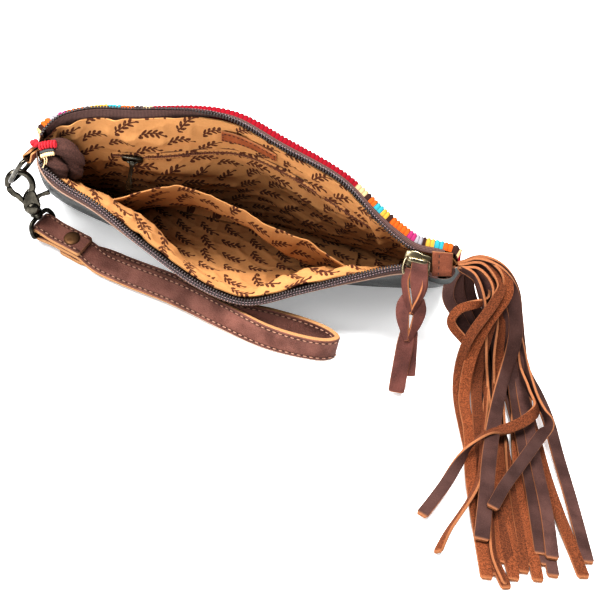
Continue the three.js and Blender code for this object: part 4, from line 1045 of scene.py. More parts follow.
THREAD = plain_fibre("brown_thread", (0.2, 0.075, 0.04), (0.09, 0.03, 0.016))
PALE_THREAD = plain_fibre("pale_thread", (0.42, 0.24, 0.165), (0.24, 0.12, 0.08))
CREAM_YARN = plain_fibre("cream_yarn", (0.82, 0.62, 0.38), (0.5, 0.33, 0.17))
FOLD_CLOTH = plain_fibre("zip_end_cloth", (0.085, 0.034, 0.024), (0.038, 0.014, 0.01), 1400.0, 0.9)
RED_YARN = plain_fibre("red_yarn", (0.6, 0.02, 0.035), (0.28, 0.006, 0.014))
BRASS = old_metal("antique_brass", (0.11, 0.1, 0.08), (0.03, 0.028, 0.023), 0.25)
SLIDER_BRASS = old_metal("slider_brass", (0.36, 0.31, 0.21), (0.22, 0.185, 0.12), 0.27)
BRONZE = old_metal("antique_bronze", (0.2, 0.11, 0.055), (0.12, 0.062, 0.03), 0.55)


# Pouch pieces


def zip_fold_share(side, across):
    """How far the zip lies folded over its rim: all along the front, and towards the back's right end."""
    return step(across, 0.02, 0.08) if side == "front" else step(across, 0.22, 0.46)


def zip_over(side, across):
    """How far the folded zip reaches out over its rim, in millimetres: further at the back's right end."""
    return np.full_like(across, 1.1) if side == "front" else 0.25 + 0.7 * step(across, 0.66, 0.88)


def front_leather():
    """Front panel: the front wall's table, thick as the leather, with a raw rounded rim outside the zip."""
    across, top = close_ends(200), 0.1
    wall = make_wall("front", across)
    depth = depth_rows(wall, top, 0.0, 70)
    over = zip_over("front", across) * zip_fold_share("front", across)
    spread = over[:, None] * np.maximum(1 - depth / 14, 0) ** 1.5
    middle, normal = on_wall(wall, depth, -GAP / 2 - LEATHER / 2 - spread)
    u = (across * rim_length("front"))[:, None]
    distance = border_distance(u, depth, top, wall["length"][:, None], u.max())
    half = LEATHER / 2 * edge_round(distance, 0.8)
    made = sheet(middle, normal, half, half, pair(u, depth), step(distance, 0.75, 0.3))
    made["points"][:, 2] = np.maximum(made["points"][:, 2], 0.02)
    piece("front_leather", made, GREY_LEATHER, ["front_panel"])


def rib_colours(rib):
    """The chart's yarn colour of each rib."""
    chart = np.concatenate([np.tile(YARN[name], (count, 1)) for name, count in STRIPES])
    return chart[np.clip(rib, 0, len(chart) - 1)]


def woven_back():
    """Woven panel: the back wall with a rounded rib each pitch outside, and yarn turns across its hem."""
    length = rim_length("back")
    ribs = sum(count for _, count in STRIPES)
    pitch = length / ribs
    u = np.linspace(0, length, ribs * 6 + 1)
    across = u / length
    wall = make_wall("back", across, 90)
    top, foot = 0.2, wall["length"][:, None]
    hem_rows, rows = np.linspace(top, HEM_DEPTH, 34), np.linspace(0, 1, 39)[1:]
    depth = np.hstack([np.tile(hem_rows, (len(u), 1)), HEM_DEPTH + (foot - HEM_DEPTH) * rows])
    over = zip_over("back", across) * zip_fold_share("back", across)
    middle, normal = on_wall(wall, depth, -GAP / 2 - over[:, None] * np.maximum(1 - depth / 16, 0))
    rib = np.abs(np.sin(np.pi * u / pitch)) ** 0.7
    hem = np.interp(across, *zip(*WOVEN_HEM))
    full = WOVEN + hem[:, None] * np.maximum(1 - depth / TAPE_DEPTH, 0)
    distance = border_distance(u[:, None], depth, top, foot, length)
    turns = depth / YARN_TURN + (0.7 * (u / pitch) % 1)[:, None]
    twist = 0.3 * (1 - np.abs(np.sin(np.pi * turns))) * step(depth, HEM_DEPTH, 12)
    outer = (full - 0.75 * (1 - rib[:, None]) - twist) * edge_round(distance, 1.8)
    uv = pair(u[:, None] * RIB_PITCH / pitch, depth)
    made = sheet(middle, normal, np.zeros(depth.shape), outer, uv)
    index = np.clip(np.round(u / pitch - 0.5), 0, ribs - 1).astype(int)
    colour = np.repeat(rib_colours(index)[:, None], depth.shape[1], axis=1).reshape(-1, 3)
    made["marks"]["stripe"] = np.vstack([colour, colour])
    made["points"][:, 2] = np.maximum(made["points"][:, 2], 0.3)
    piece("woven_back", made, WOVEN_CLOTH, ["back_panel"])


def lining_sheet(side):
    """Lining of one wall: a thin sheet drawn in towards the seam, with folds and a puckered top edge."""
    across = close_ends(260, 0.012, 0.988)
    wall = make_wall(side, across)
    u = (across * rim_length(side))[:, None]
    pucker = 0.5 * np.sin(u / 3.1) + 0.4 * np.sin(u / 1.9 + 1.3)
    at_left, after = LINING_TOP[side]
    edge = at_left + (after - at_left) * step(across, 0.12, 0.45) + 0.12 * pucker[:, 0]
    depth = depth_rows(wall, edge, 0.6, 120)
    from_seam = wall["length"][:, None] - depth
    open_share = step(from_seam, 0, 18) * step(np.minimum(across, 1 - across)[:, None], 0, 0.05)
    small = crumple(u, depth) * step(depth - edge[:, None], 0.5, 7) + 0.2 * pucker * np.exp(-depth / 9)
    fold = creases(u, depth, FOLDS[side]) + small
    inwards = 0.25 + (0.5 * (LINING_OUTSIDE + LINING_INSIDE) - 0.25 + fold) * open_share
    middle, _ = on_wall(wall, depth, inwards)
    half = np.full(depth.shape, CLOTH / 2)
    uv = pair(u + (0 if side == "front" else 300), depth)
    made = sheet(middle, facing(middle) * INWARD[side], half, half, uv)
    thing = piece(f"{side}_lining_cloth", made, LINING, [f"{side}_lining"])


def slip_pocket():
    """Slip pocket: it lies on the front lining at its foot and sides, and gapes at its free edge.

    The gape is a half sine raised to 1.3 along the pocket. It fades with the depth, slowly at the left, where
    the pocket stands open, and faster towards the right.
    """
    part = close_ends(140)
    share, top = SLIP_POCKET["end"] - SLIP_POCKET["start"], SLIP_POCKET["depth"]
    across = SLIP_POCKET["start"] + share * part
    wall = make_wall("front", across)
    down = np.linspace(0, 1, 60)[None]
    depth = top + (wall["length"][:, None] - SLIP_POCKET["foot"] - top) * down
    seat, _ = on_wall(wall, depth, LINING_INSIDE + 1.1)
    gape = SLIP_POCKET["gape"] * np.maximum(np.sin(np.pi * part), 0) ** 1.3
    u = (across * rim_length("front"))[:, None]
    fold = creases(u, depth, POCKET_FOLDS) + 0.6 * crumple(u, depth)
    fade = (1 - down) ** (0.5 + 0.8 * step(part, 0.35, 0.8)[:, None])
    lift = (gape[:, None] + fold * step(gape, 0, 10)[:, None]) * fade
    middle = seat + lift[..., None] * unit(np.array([0, 0.45, 0.9]))
    normal = facing(middle)
    hem = 1 + step(down, 0.11, 0.09) * step(np.minimum(part, 1 - part)[:, None], 0, 0.04)
    half = CLOTH / 2 * hem * edge_round(depth - top + 0.05, 0.7)
    made = sheet(middle, normal, half, half, pair(u + 130, depth))
    thing = piece("slip_pocket_cloth", made, LINING, ["slip_pocket"])
    hem_row = np.abs(down[0] - 0.1).argmin()
    run = stitch_run(middle[6:-6, hem_row], normal[6:-6, hem_row], 2.6, 1.8, 0.16, 0.55)
    piece("slip_pocket_stitches", run, THREAD, ())


def tape_rows(side, shares, columns):
    """Middle of one zip tape, its normals and its map.

    Across, the tape stands in line with the wall, or lies folded over the rim and goes in under the panel.
    """
    across = np.linspace(*shares, columns)
    wall = make_wall(side, across, 90)
    over = zip_over(side, across)[:, None]
    upright = route([(-0.5, 0.62, 0), (0.3, 0.62, 0), (2, 0.62, 0), (5, 0.62, 0), (TAPE_DEPTH, 0.62, 0)], 18)
    above = [(-0.8, 1.5, 0), (-1, 0.4, 0)]
    near, far = (
        route([*above, (-0.95, -0.5 * k, 0), (-0.4, -k - 0.1, 0), (2.4, -k - 0.15, 0)], 18) for k in (1, 2)
    )
    folded = near + (far - near) * (over - 1)[..., None]
    share = zip_fold_share(side, across)[:, None]
    depth = upright[:, 0] * (1 - share) + folded[..., 0] * share
    middle, _ = on_wall(wall, depth, upright[:, 1] * (1 - share) + folded[..., 1] * share)
    uv = pair((across * rim_length(side))[:, None], run_along(middle, 1))
    return middle, facing(middle) * INWARD[side], uv


def zip_tape(side):
    """One tape of the open zip, thicker at its corded edge."""
    middle, normal, uv = tape_rows(side, TAPE_SHARES, 240)
    half = (0.3 + 0.2 * np.exp(-((uv[..., 1] - 0.4) / 0.5) ** 2)) * edge_round(uv[..., 1] + 0.05, 0.4)
    piece(f"{side}_zip_tape", sheet(middle, normal, half, half, uv), TAPE, [f"{side}_tape"])


def zip_teeth(side):
    """Coil teeth on the outer face of a tape: a rod each pitch, its round head bent over the tape's edge.

    Small stitches hold the coil down, in two rows on the front and one on the back, where it is turned away.
    """
    middle, normal, _ = tape_rows(side, TEETH_SHARES, 400)
    edge, body = middle[:, 0], unit(middle[:, 4] - middle[:, 0])
    count = int(run_along(edge)[-1] / TOOTH_PITCH)
    places = even(np.concatenate([edge, body, -normal[:, 0]], axis=1), count)
    origin, body, outer = places[:, :3], unit(places[:, 3:6]), unit(places[:, 6:9])
    along = unit(np.cross(body, outer))
    axes = np.stack([along, body, outer], axis=1)
    reach, stitched = (2.3, (0.4, 1.6)) if side == "front" else (1.1, (0.45,))
    head = [(0, -0.2, 0.72), (0, -0.65, 0.45), (0, -0.8, 0), (0, -0.5, -0.4)]
    rod = route([(-0.2, reach, 0.45), (-0.1, reach - 1.0, 0.75), *head], 13)
    template = wire(rod, 0.52 + 0.14 * step(np.linspace(0, 1, 13), 0.35, 0.7), 7, guide=RIGHT, round_rows=1)
    piece(f"{side}_zip_teeth", copies(template, origin, axes), TEETH, [f"{side}_teeth"])
    dot = wire(np.linspace(-0.5, 0.5, 5)[:, None] * RIGHT, 0.29, 6, round_rows=1)
    seat = origin + 0.5 * TOOTH_PITCH * along + 1.05 * outer
    rows = [copies(dot, seat + aside * body, axes) for aside in stitched]
    piece(f"{side}_zip_thread", rows, ZIP_THREAD, ())


def strip_surface(start, end, depth, depth_end, height, seat, columns, rows):
    """A strip on the back lining: its points, normals and places along and across it."""
    share = np.linspace(0, 1, columns)
    wall = make_wall("back", start + (end - start) * share, 90)
    v = np.linspace(-height / 2, height / 2, rows)
    middle, normal = on_wall(wall, (depth + (depth_end - depth) * share)[:, None] + v[None], seat)
    return middle, normal, pair(run_along(middle[:, rows // 2])[:, None], v[None])


def strip_border(uv, half_height):
    """Distance of each point of a strip to its border."""
    ends = np.minimum(uv[..., 0], uv[..., 0].max() - uv[..., 0])
    return np.minimum(ends, half_height - np.abs(uv[..., 1]))


def pocket_zip():
    """Zipped pocket: two folded lips of lining cloth, with the brown coil sunk between them."""
    facts = (POCKET_ZIP["start"], POCKET_ZIP["end"], POCKET_ZIP["depth"], POCKET_ZIP["depth_end"])
    middle, normal, uv = strip_surface(*facts, 4.8, LINING_INSIDE + 0.35, 200, 9)
    half = 0.3 * edge_round(strip_border(uv, 2.45), 0.5)
    piece("pocket_zip_tape", sheet(middle, normal, half, half, uv), TAPE, ["pocket_zip"])
    lips = []
    for low, high in ((0, 3), (5, 8)):
        lip = middle[:, low:high + 1] + 0.35 * normal[:, low:high + 1]
        swell = 0.65 * np.array([0.25, 1.3, 1.2, 0.3])[::1 if low else -1] * np.ones((200, 1))
        lips.append(sheet(lip, normal[:, low:high + 1], swell, 0.3 + 0 * swell, uv[:, low:high + 1]))
    piece("pocket_zip_lips", lips, LINING, ())
    coil = stitch_run(middle[:, 4], normal[:, 4], 1.2, 1.3, 0.6, 0.75)
    piece("pocket_zip_coil", coil, THREAD, ())
    seams = [stitch_run(middle[3:-3, k], normal[3:-3, k], 2.2, 1.4, 0.16, 1.1) for k in (1, 7)]
    piece("pocket_zip_stitches", seams, THREAD, ())


def inner_patch():
    """Small leather patch with rounded edges and a row of stitches round it."""
    facts = (PATCH["start"], PATCH["end"], PATCH["depth"], PATCH["depth"], PATCH["height"])
    middle, normal, uv = strip_surface(*facts, LINING_INSIDE + 1.0, 60, 21)
    distance = strip_border(uv, PATCH["height"] / 2)
    half = 0.75 * edge_round(distance, 0.7)
    made = sheet(middle, normal, half, half, uv, 0.8 * step(distance, 0.35, 0.1))
    piece("inner_patch_leather", made, PATCH_LEATHER, ["inner_patch"])
    ring, up = (
        np.vstack([table[2:-2, 3], table[-3, 3:-3], table[2:-2, -4][::-1], table[2, 3:-3][::-1]])
        for table in (middle, normal)
    )
    run = stitch_run(ring, up, 2.3, 1.5, 0.26, 0.72)
    piece("inner_patch_stitches", run, DARK_THREAD, ())


def pocket_hardware():
    """Slider of the zipped pocket with its hanging pull: a domed block, a bridge, and a tapering bar."""
    share = (POCKET_PULL["across"] - POCKET_ZIP["start"]) / (POCKET_ZIP["end"] - POCKET_ZIP["start"])
    depth = POCKET_ZIP["depth"] + (POCKET_ZIP["depth_end"] - POCKET_ZIP["depth"]) * share
    wall = make_wall("back", POCKET_PULL["across"] + np.linspace(-0.03, 0.03, 5), 90)
    seat = LINING_INSIDE + 2 * GAP + 1.2
    middle, normal = on_wall(wall, np.full((5, 1), depth), seat)
    origin, out = middle[2, 0], normal[2, 0]
    along = unit(middle[3, 0] - middle[1, 0])
    across = np.cross(out, along)
    block = lofted(
        [(-5.6, 0, 0.9, 1.1, 0.5), (-5.2, 0, 1.0, 1.9, 0.85), (-2, 0, 1.2, 2.3, 1.15), (2, 0, 1.2, 2.3, 1.15),
         (4.6, 0, 1.1, 1.9, 0.95), (5.4, 0, 1.0, 1.2, 0.5)],
        origin, (across, out, along), 20, 3.5,
    )
    bridge = wire(
        origin + route([(-3, 0, 1.8), (-2.2, 0, 3.0), (0, 0, 3.5), (2.2, 0, 3.0), (3, 0, 1.8)], 16)
        @ np.stack([along, across, out]), 0.55, 8, guide=across,
    )
    piece("pocket_slider_body", [block, bridge], BRASS, ["pocket_slider"])
    low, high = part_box("pocket_pull")
    top = np.array([(low[0] + high[0]) / 2, (low[1] + high[1]) / 2, high[2] - 0.0008]) * 1000 + (0, REST_Y, 0)
    length = POCKET_PULL["length"]
    bar = lofted(
        [(0.7, 0, 0, 0.8, 0.45), (0.2, 0, 0, 1.5, 0.75), (-1.6, 0, 0, 1.35, 0.75), (-3, 0, 0, 0.95, 0.65),
         (-length + 6.4, 0, 0, 1.0, 0.65), (-length + 5.4, 0, 0, 1.5, 0.75), (-length + 1, 0, 0, 1.6, 0.75),
         (-length + 0.3, 0, 0, 1.3, 0.6), (-length, 0, 0, 0.7, 0.35)],
        top, (RIGHT, FORTH, UP), 16, 3.5,
    )
    piece("pocket_pull_bar", bar, BRASS, ["pocket_pull"], "pocket_pull")


def zip_end():
    """Right end of the zip: slider, closed teeth, a stitched leather tab over them and the corner's band."""
    rise = mouth_point(0, 1) - mouth_point(0, 0)
    out = mouth_point(0, 0, 1) - mouth_point(0, 0)
    zip_slider(rise, out)
    closed_zip(rise, out)
    end_tab()
    path = mouth_path(CORNER_BAND, 60)
    made = ribbon(path, np.cross(np.broadcast_to(out, path.shape), headings(path)), 2.8, 1.6, 24, 4.0, 4)
    piece("corner_grey_band", made, GREY_LEATHER, ())


def zip_slider(rise, out):
    """Slider: two winged plates on a post, side flanges, and a bridge for the pull's loop."""
    origin = mouth_point(ZIP_END["x"], ZIP_END["rise"])
    half, wide = ZIP_END["length"] / 2, ZIP_END["width"] / 2
    level = ZIP_END["room"] / 2 + ZIP_END["plate"] / 2
    plates = [
        lofted(
            [(half * place, 0, k * (level + lift), wide * part, thick) for place, lift, part, thick in (
                (-1, 0, 0.45, 0.3), (-0.93, 0, 0.66, 0.5), (-0.6, 0.1, 0.95, 0.62), (-0.2, 0.15, 1, 0.68),
                (0.3, 0.1, 0.82, 0.64), (0.85, 0, 0.74, 0.58), (1, 0, 0.66, 0.35),
            )],
            origin, (rise, out, RIGHT), 24, 3.2,
        )
        for k in (1, -1)
    ]
    post = lofted(
        [(0.4, 0, 0, 0.7, 1.6), (1, 0, 0, 1.2, 1.8), (3, 0, 0, 1.1, 1.8), (3.6, 0, 0, 0.5, 1.6)],
        origin - half * RIGHT, (rise, out, RIGHT), 16, 3,
    )
    flanges = [
        lofted(
            [(-half * 0.3, k * wide * 0.86, 0, 0.4, 1.6), (0, k * wide * 0.84, 0, 0.45, 1.7),
             (half * 0.8, k * wide * 0.64, 0, 0.45, 1.7), (half * 0.96, k * wide * 0.6, 0, 0.3, 1.5)],
            origin, (rise, out, RIGHT), 12, 3,
        )
        for k in (1, -1)
    ]
    arch = [(-4.8, 2.3), (-4.8, 4.3), (-4.1, 5.2), (0.2, 5.5), (4.2, 5.2), (4.9, 4.3), (4.9, 2.3)]
    path = route(arch, 30)
    bridge = ribbon(origin + path[:, :1] * RIGHT + path[:, 1:] * out, rise, 2.2, 1.3, 20, 3.5)
    piece("zip_slider_body", [*plates, post, *flanges, bridge], SLIDER_BRASS, ["zip_slider"])


def closed_zip(rise, out):
    """Short closed stretch past the slider: teeth in pairs on a plain tape."""
    start, count = ZIP_END["x"] + ZIP_END["length"] / 2, 7
    x = start + 0.8 + np.arange(count) * TOOTH_PITCH
    centres = mouth_point(np.repeat(x, 2), ZIP_END["rise"] + np.tile([-0.9, 0.9], count), -0.1)
    bar = wire(np.linspace(-1.6, 1.6, 7)[:, None] * FORTH, 0.55, 8, round_rows=2)
    axes = np.broadcast_to(np.stack([RIGHT, rise, out]), (2 * count, 3, 3))
    piece("closed_zip_teeth", copies(bar, centres, axes), TEETH, ["closed_zip"])
    share = np.linspace(0, 1, 24)[:, None]
    v = np.linspace(-3.8, 3.8, 15)[None]
    x0, x1 = start + 0.35, ZIP_END["tape_end"]
    middle = mouth_point(x0 + (x1 - x0) * share, ZIP_END["rise"] + v, -0.55)
    normal = np.broadcast_to(out, middle.shape)
    half = 0.4 * edge_round(3.85 - np.abs(v) + 0 * share, 0.4)
    tape = sheet(middle, normal, half, half, pair((x1 - x0) * share, v))
    piece("closed_zip_tape", tape, TAPE, ())


def end_tab():
    """Leather tab over the zip's end: a table between two slanted sides, stitched down near its left one."""
    share, fall = np.linspace(0, 1, 40)[:, None], np.linspace(0, 1, 54)[None]
    left, right = (
        [top + (foot - top) * fall for top, foot in zip(*END_TAB[side])] for side in ("left", "right")
    )
    u, v = (a + (b - a) * share for a, b in zip(left, right))
    sag = -1.1 * step(fall, 0.75, 1.0) + 0.3 * np.sin(u / 2.2 + v / 3)
    middle = mouth_point(u, v, END_TAB["base"] + END_TAB["thick"] / 2 + sag)
    normal = facing(middle)
    distance = np.minimum(10.4 * np.minimum(share, 1 - share), 12.5 * np.minimum(fall, 1 - fall))
    half = END_TAB["thick"] / 2 * edge_round(distance, 0.8)
    made = sheet(middle, normal, half, half, pair(u, v), 0.8 * step(distance, 0.3, 0.1))
    piece("end_tab_leather", made, TAB_LEATHER, ["end_tab"])
    seam = np.s_[13, 3:-3]
    outwards = np.abs(normal[seam]) * (0, -1, 1)
    run = stitch_run(middle[seam], outwards, 2.5, 1.8, 0.24, END_TAB["thick"] / 2 - 0.02)
    piece("end_tab_stitches", run, DARK_THREAD, ())


def zip_fold():
    """Left corner: the zip's soft end rolled into the pouch, and the cut layers of the bag's edge over it."""
    rolls, rows, sides = [], 60, 32
    for stops in ZIP_ROLLS:
        table = np.array(stops, float)
        made = route(np.c_[mouth_point(*table[:, :3].T), table[:, 3]], rows)
        middle = made[:, None, :3]
        roll = wire(made[:, :3], made[:, 3], sides, round_rows=8)
        angle = np.linspace(0, 2 * np.pi, sides, endpoint=False) + np.linspace(0, 2.4, rows)[:, None]
        soft = 1 + 0.09 * np.cos(3 * angle) + 0.05 * np.cos(7 * angle + 1)
        rings = roll["points"][:-2].reshape(rows, sides, 3)
        roll["points"][:-2] = (middle + (rings - middle) * soft[..., None]).reshape(-1, 3)
        rolls.append(roll)
    piece("zip_fold_tape", rolls, FOLD_CLOTH, ["zip_fold"])
    piece("corner_red_yarn", wound_yarn(mouth_path(RED_WINDING, 48)), RED_YARN, ())
    materials = (RED_YARN, GREY_LEATHER, CREAM_YARN, CREAM_YARN, CREAM_YARN)
    for material, (name, slot, stops, radius, bumps) in zip(materials, CORNER_LAYERS):
        path = mouth_path(stops, 48)
        turns = np.linspace(0, 1, len(path)) * bumps * np.pi
        piece(name, wire(path, radius * (1 + 0.3 * np.sin(turns) ** 2), 14), material, ())


def wound_yarn(path):
    """Yarn wound round a core: a closed ring across the path at each eighth row, and the core along it."""
    angle = np.linspace(0, 2 * np.pi, 24, endpoint=False)[:, None]
    places = np.s_[4:-2:8]
    heading = headings(path)[places]
    rings = [
        wire(at + 1.5 * (np.cos(angle) * a + np.sin(angle) * np.cross(h, a)), 0.68, 8, True, h)
        for at, h, a in zip(path[places], heading, across_of(heading, UP))
    ]
    return [*rings, wire(path, 1.1, 14)]


def pull_parts():
    """Wire loop on the slider's bridge, and the leather pull: its runs are strips about its own route."""
    under = mouth_point(ZIP_END["x"] + 0.2, ZIP_END["rise"], 3.75)
    hang = np.array(PULL_ROUTE[1]) - under
    hang[0] = 0
    foot = np.linalg.norm(hang)
    down = hang / foot
    corners = [(-5.6, 0), (0, 0), (5.6, 0), (5.6, foot), (0, foot), (-5.6, foot)]
    loop = flat_ring(corners, 72, under, RIGHT, down, np.cross(RIGHT, down), 0.8, 10)
    piece("pull_loop_wire", loop, SLIDER_BRASS, ["pull_loop"])

    path = route(PULL_ROUTE, 300)
    run, heading = run_along(path), headings(path)
    side = across_of(heading, RIGHT)
    front = np.cross(heading, side)
    front = front * np.sign(front[:1, 2:3])
    rails = np.hstack([path, side, front])
    strips = []
    for stops in PULL_RUNS:
        table = np.array(stops, float)
        rail = np.stack([np.interp(table[:, 0], run, column) for column in rails.T], axis=1)
        places = rail[:, :3] + table[:, 1:2] * rail[:, 3:6] + table[:, 2:3] * rail[:, 6:9]
        roll = np.radians(table[:, 4:5])
        guides = np.cos(roll) * rail[:, 3:6] + np.sin(roll) * rail[:, 6:9]
        made = route(np.hstack([places, guides, table[:, 3:4]]), 70)
        made[:, 2] = np.maximum(made[:, 2], 1.3)
        strips.append(ribbon(made[:, :3], made[:, 3:6], made[:, 6], 1.5, 28, 6.0))
    piece("pull_plait", strips, PULL_LEATHER, ["leather_pull"])


# Strap and hook


def strap_frame():
    """Directions of the strap's flap: along it, across it and out of its face."""
    heading = unit(STRAP_HEADING)
    back = unit(np.cross(UP, heading))
    lean = np.radians(STRAP["lean"])
    across = np.cos(lean) * UP + np.sin(lean) * back
    return heading, across, unit(np.cross(heading, across))


def strap_route():
    """Strap stops: flap, fold round the ring's bar, out under the flap, round the loop and back under it."""
    heading, across, face = strap_frame()
    ply = STRAP["thick"] + GAP

    def on_flap(along, height):
        """A place along the flap from the ring's bar, at a height over the middle ply."""
        return STRAP_BAR + along * heading + (height - ply / 2) * face

    fold = RING_WIRE + GAP + STRAP["thick"] / 2
    places = [on_flap(STRAP["flap"], ply), on_flap(17, ply), on_flap(9, ply), on_flap(4, ply + 0.9)]
    turn = np.pi * (0.5 + np.arange(7) / 6)
    places += [on_flap(fold * np.cos(a), ply / 2 + fold * np.sin(a)) for a in turn]
    places += [on_flap(4, -0.9), on_flap(9, 0), on_flap(17, 0), on_flap(STRAP["flap"] - 1, 0)]
    stops = [np.r_[place, across] for place in places]
    table = np.array(STRAP_ROUTE, float)
    run = np.gradient(table[:, :2], axis=0)
    back = unit(np.stack([-run[:, 1], run[:, 0], np.zeros(len(run))], axis=1))
    back = back * np.where(back[:, 1:2] < 0, -1, 1)
    tilt = np.radians(table[:, 2])[:, None]
    z = STRAP["width"] / 2 * np.cos(tilt) + STRAP["thick"] / 2 * np.sin(tilt) + 0.25 + table[:, 3:]
    stops += list(np.hstack([table[:, :2], z, np.cos(tilt) * UP + np.sin(tilt) * back]))
    stops += [np.r_[on_flap(along, -ply), across] for along in (STRAP["flap"] - 1, 20, STRAP["end"])]
    made = route(stops, STRAP_ROWS)
    return made[:, :3], unit(made[:, 3:6])


def wrist_strap():
    """Wrist strap: a band with pale cut edges, stitched along both edges on both faces, and its rivet."""
    path, across = strap_route()
    made = ribbon(path, across, STRAP["width"], STRAP["thick"], STRAP_SIDES, 9.0, 3)
    first_end = np.r_[:STRAP_SIDES, -2]
    made["marks"]["edge"][first_end] *= 0.3
    piece("strap_band", made, STRAP_LEATHER, ["wrist_strap"])
    heading = headings(path)
    side = across_of(heading, across)
    inner = np.s_[4:-4]
    normal = np.cross(heading, side)[inner]
    runs = [
        stitch_run((path + k * STRAP_SEAM * side)[inner], face * normal, 3.1, 2.1, 0.36, STRAP["thick"] / 2)
        for k in (1, -1) for face in (1, -1)
    ]
    piece("strap_stitches", runs, PALE_THREAD, ())
    heading, _, face = strap_frame()
    ply = STRAP["thick"] + GAP
    foot = STRAP_BAR + STRAP["rivet"] * heading - ply / 2 * face
    top = ply + STRAP["thick"] / 2 + 0.1
    low = -ply - STRAP["thick"] / 2
    cap = turned(
        [(0, top + 1), (2.4, top + 0.95), (3.5, top + 0.8), (4.1, top + 0.5), (4.3, top + 0.15),
         (4.2, top - 0.1), (1.5, top - 0.3), (1.4, low), (2.8, low - 0.1), (2.7, low - 0.6), (0, low - 0.7)],
        foot, face,
    )
    piece("strap_rivet_cap", cap, BRONZE, ["strap_rivet"])


def hook_frame():
    """Hook directions: across its plate, away from the viewer, and from the strap's bar to its eye."""
    axis = unit(HOOK_EYE - STRAP_BAR)
    face = unit(VIEWER - axis * (VIEWER @ axis))
    return np.stack([np.cross(axis, face), -face, axis])


def snap_hook():
    """Snap hook: cheeks about a gate, a tapering claw, a thumb lever, a pivot pin, a neck and its ring."""
    axes = hook_frame()
    eye_height = np.linalg.norm(HOOK_EYE - STRAP_BAR)

    def arc(start, end, count):
        """Places on the eye's ellipse between two angles in degrees."""
        angle = np.radians(np.linspace(start, end, count))
        along = eye_height + EYE["along"] * np.sin(angle)
        return np.stack([EYE["across"] * np.cos(angle), 0 * angle, along], axis=1)

    claw_path = route(np.vstack([(3.2, 0, 20.6), (3.3, 0, 22.2), arc(-57, 168, 17)]), 70)
    claw = wire(STRAP_BAR + claw_path @ axes, np.linspace(1.8, 1.65, 70), 16, guide=axes[1], round_rows=2)
    cheeks = [
        lofted(
            [(11.2, 0, k * 1.9, 1.6, 0.4), (12, 0, k * 1.9, 2.6, 0.68), (13.4, 0, k * 1.9, 3.7, 0.72),
             (15.5, 0.2, k * 1.9, 4.5, 0.74), (18, 0.3, k * 1.9, 4.3, 0.72), (20.5, 0.9, k * 1.85, 3.9, 0.7),
             (22.6, 1.9, k * 1.75, 3.0, 0.66), (24, 2.8, k * 1.6, 2.2, 0.55), (24.8, 3.3, k * 1.5, 1.4, 0.4)],
            STRAP_BAR, axes, 26, 3.0,
        )
        for k in (1, -1)
    ]
    neck = turned(
        [(1.7, 9.3), (2.9, 9.35), (3.35, 9.8), (3, 10.2), (3.35, 10.6), (3, 11), (3.2, 11.4), (2.6, 11.9),
         (0, 12)],
        STRAP_BAR, axes[2], axes[0], 30,
    )
    piece("hook_claw_and_cheeks", [claw, *cheeks, neck], BRASS, ["hook_body"])

    def flat_bar(stops, width, thick=1.8):
        """A flat strip through stops in the hook's own directions."""
        path = route(stops, 30)
        across = np.cross(headings(path), FORTH)
        return ribbon(STRAP_BAR + path @ axes, across @ axes, width, thick, 20, 4.0, 1)

    pivot = STRAP_BAR + PIVOT * axes[2]
    arm_stops = np.vstack([(0, 0, PIVOT), (-3, 0, PIVOT + 6), arc(228, 172, 6)])
    arm = flat_bar(arm_stops, np.linspace(2.2, 3.2, 30), 1.9)
    lever_stops = [(0, 0, PIVOT), (5, 0, PIVOT + 4.2), (8, 0, PIVOT + 4.4), (11.5, 0, PIVOT + 4)]
    lever = flat_bar(lever_stops, np.r_[np.linspace(3.4, 1.8, 20), np.linspace(1.8, 2.6, 10)])
    hub_profile = [(0, -0.9), (2.8, -0.9), (2.9, -0.6), (2.9, 0.6), (2.8, 0.9), (0, 0.9)]
    hub = turned(hub_profile, pivot, axes[1], axes[0])
    piece("hook_gate_lever", [arm, lever, hub], BRASS, ["hook_gate"], "gate")
    pin = turned(
        [(0, -4.2), (1.4, -4.1), (2.6, -3.75), (3.4, -3.1), (3.5, -2.7), (1.3, -2.65), (1.3, 2.65),
         (2.2, 2.7), (2.2, 2.8), (1.8, 3.35), (1, 3.7), (0, 3.8)],
        pivot, axes[1], axes[0],
    )
    piece("hook_pivot_pin", pin, BRASS, ["hook_pin"])

    _, strap_across, _ = strap_frame()
    bar = unit(strap_across - axes[2] * (strap_across @ axes[2]))
    half = STRAP["width"] / 2 + RING_WIRE + 0.4
    right = [(half * 0.5, 0), (half, 0), (half, 3.6), (6.2, 6.8), (1.6, 7.8)]
    stops = [*right, *[(-x, z) for x, z in reversed(right)]]
    ring = flat_ring(stops, 96, STRAP_BAR, bar, axes[2], np.cross(bar, axes[2]), RING_WIRE)
    stem = turned(
        [(0, 6.9), (2.2, 7), (2.5, 7.5), (2.2, 8), (2.5, 8.5), (2.4, 9), (1.3, 9.05), (1.3, 10.6), (0, 10.7)],
        STRAP_BAR, axes[2], axes[0],
    )
    piece("hook_swivel_ring", [ring, stem], BRASS, ["swivel_ring"])


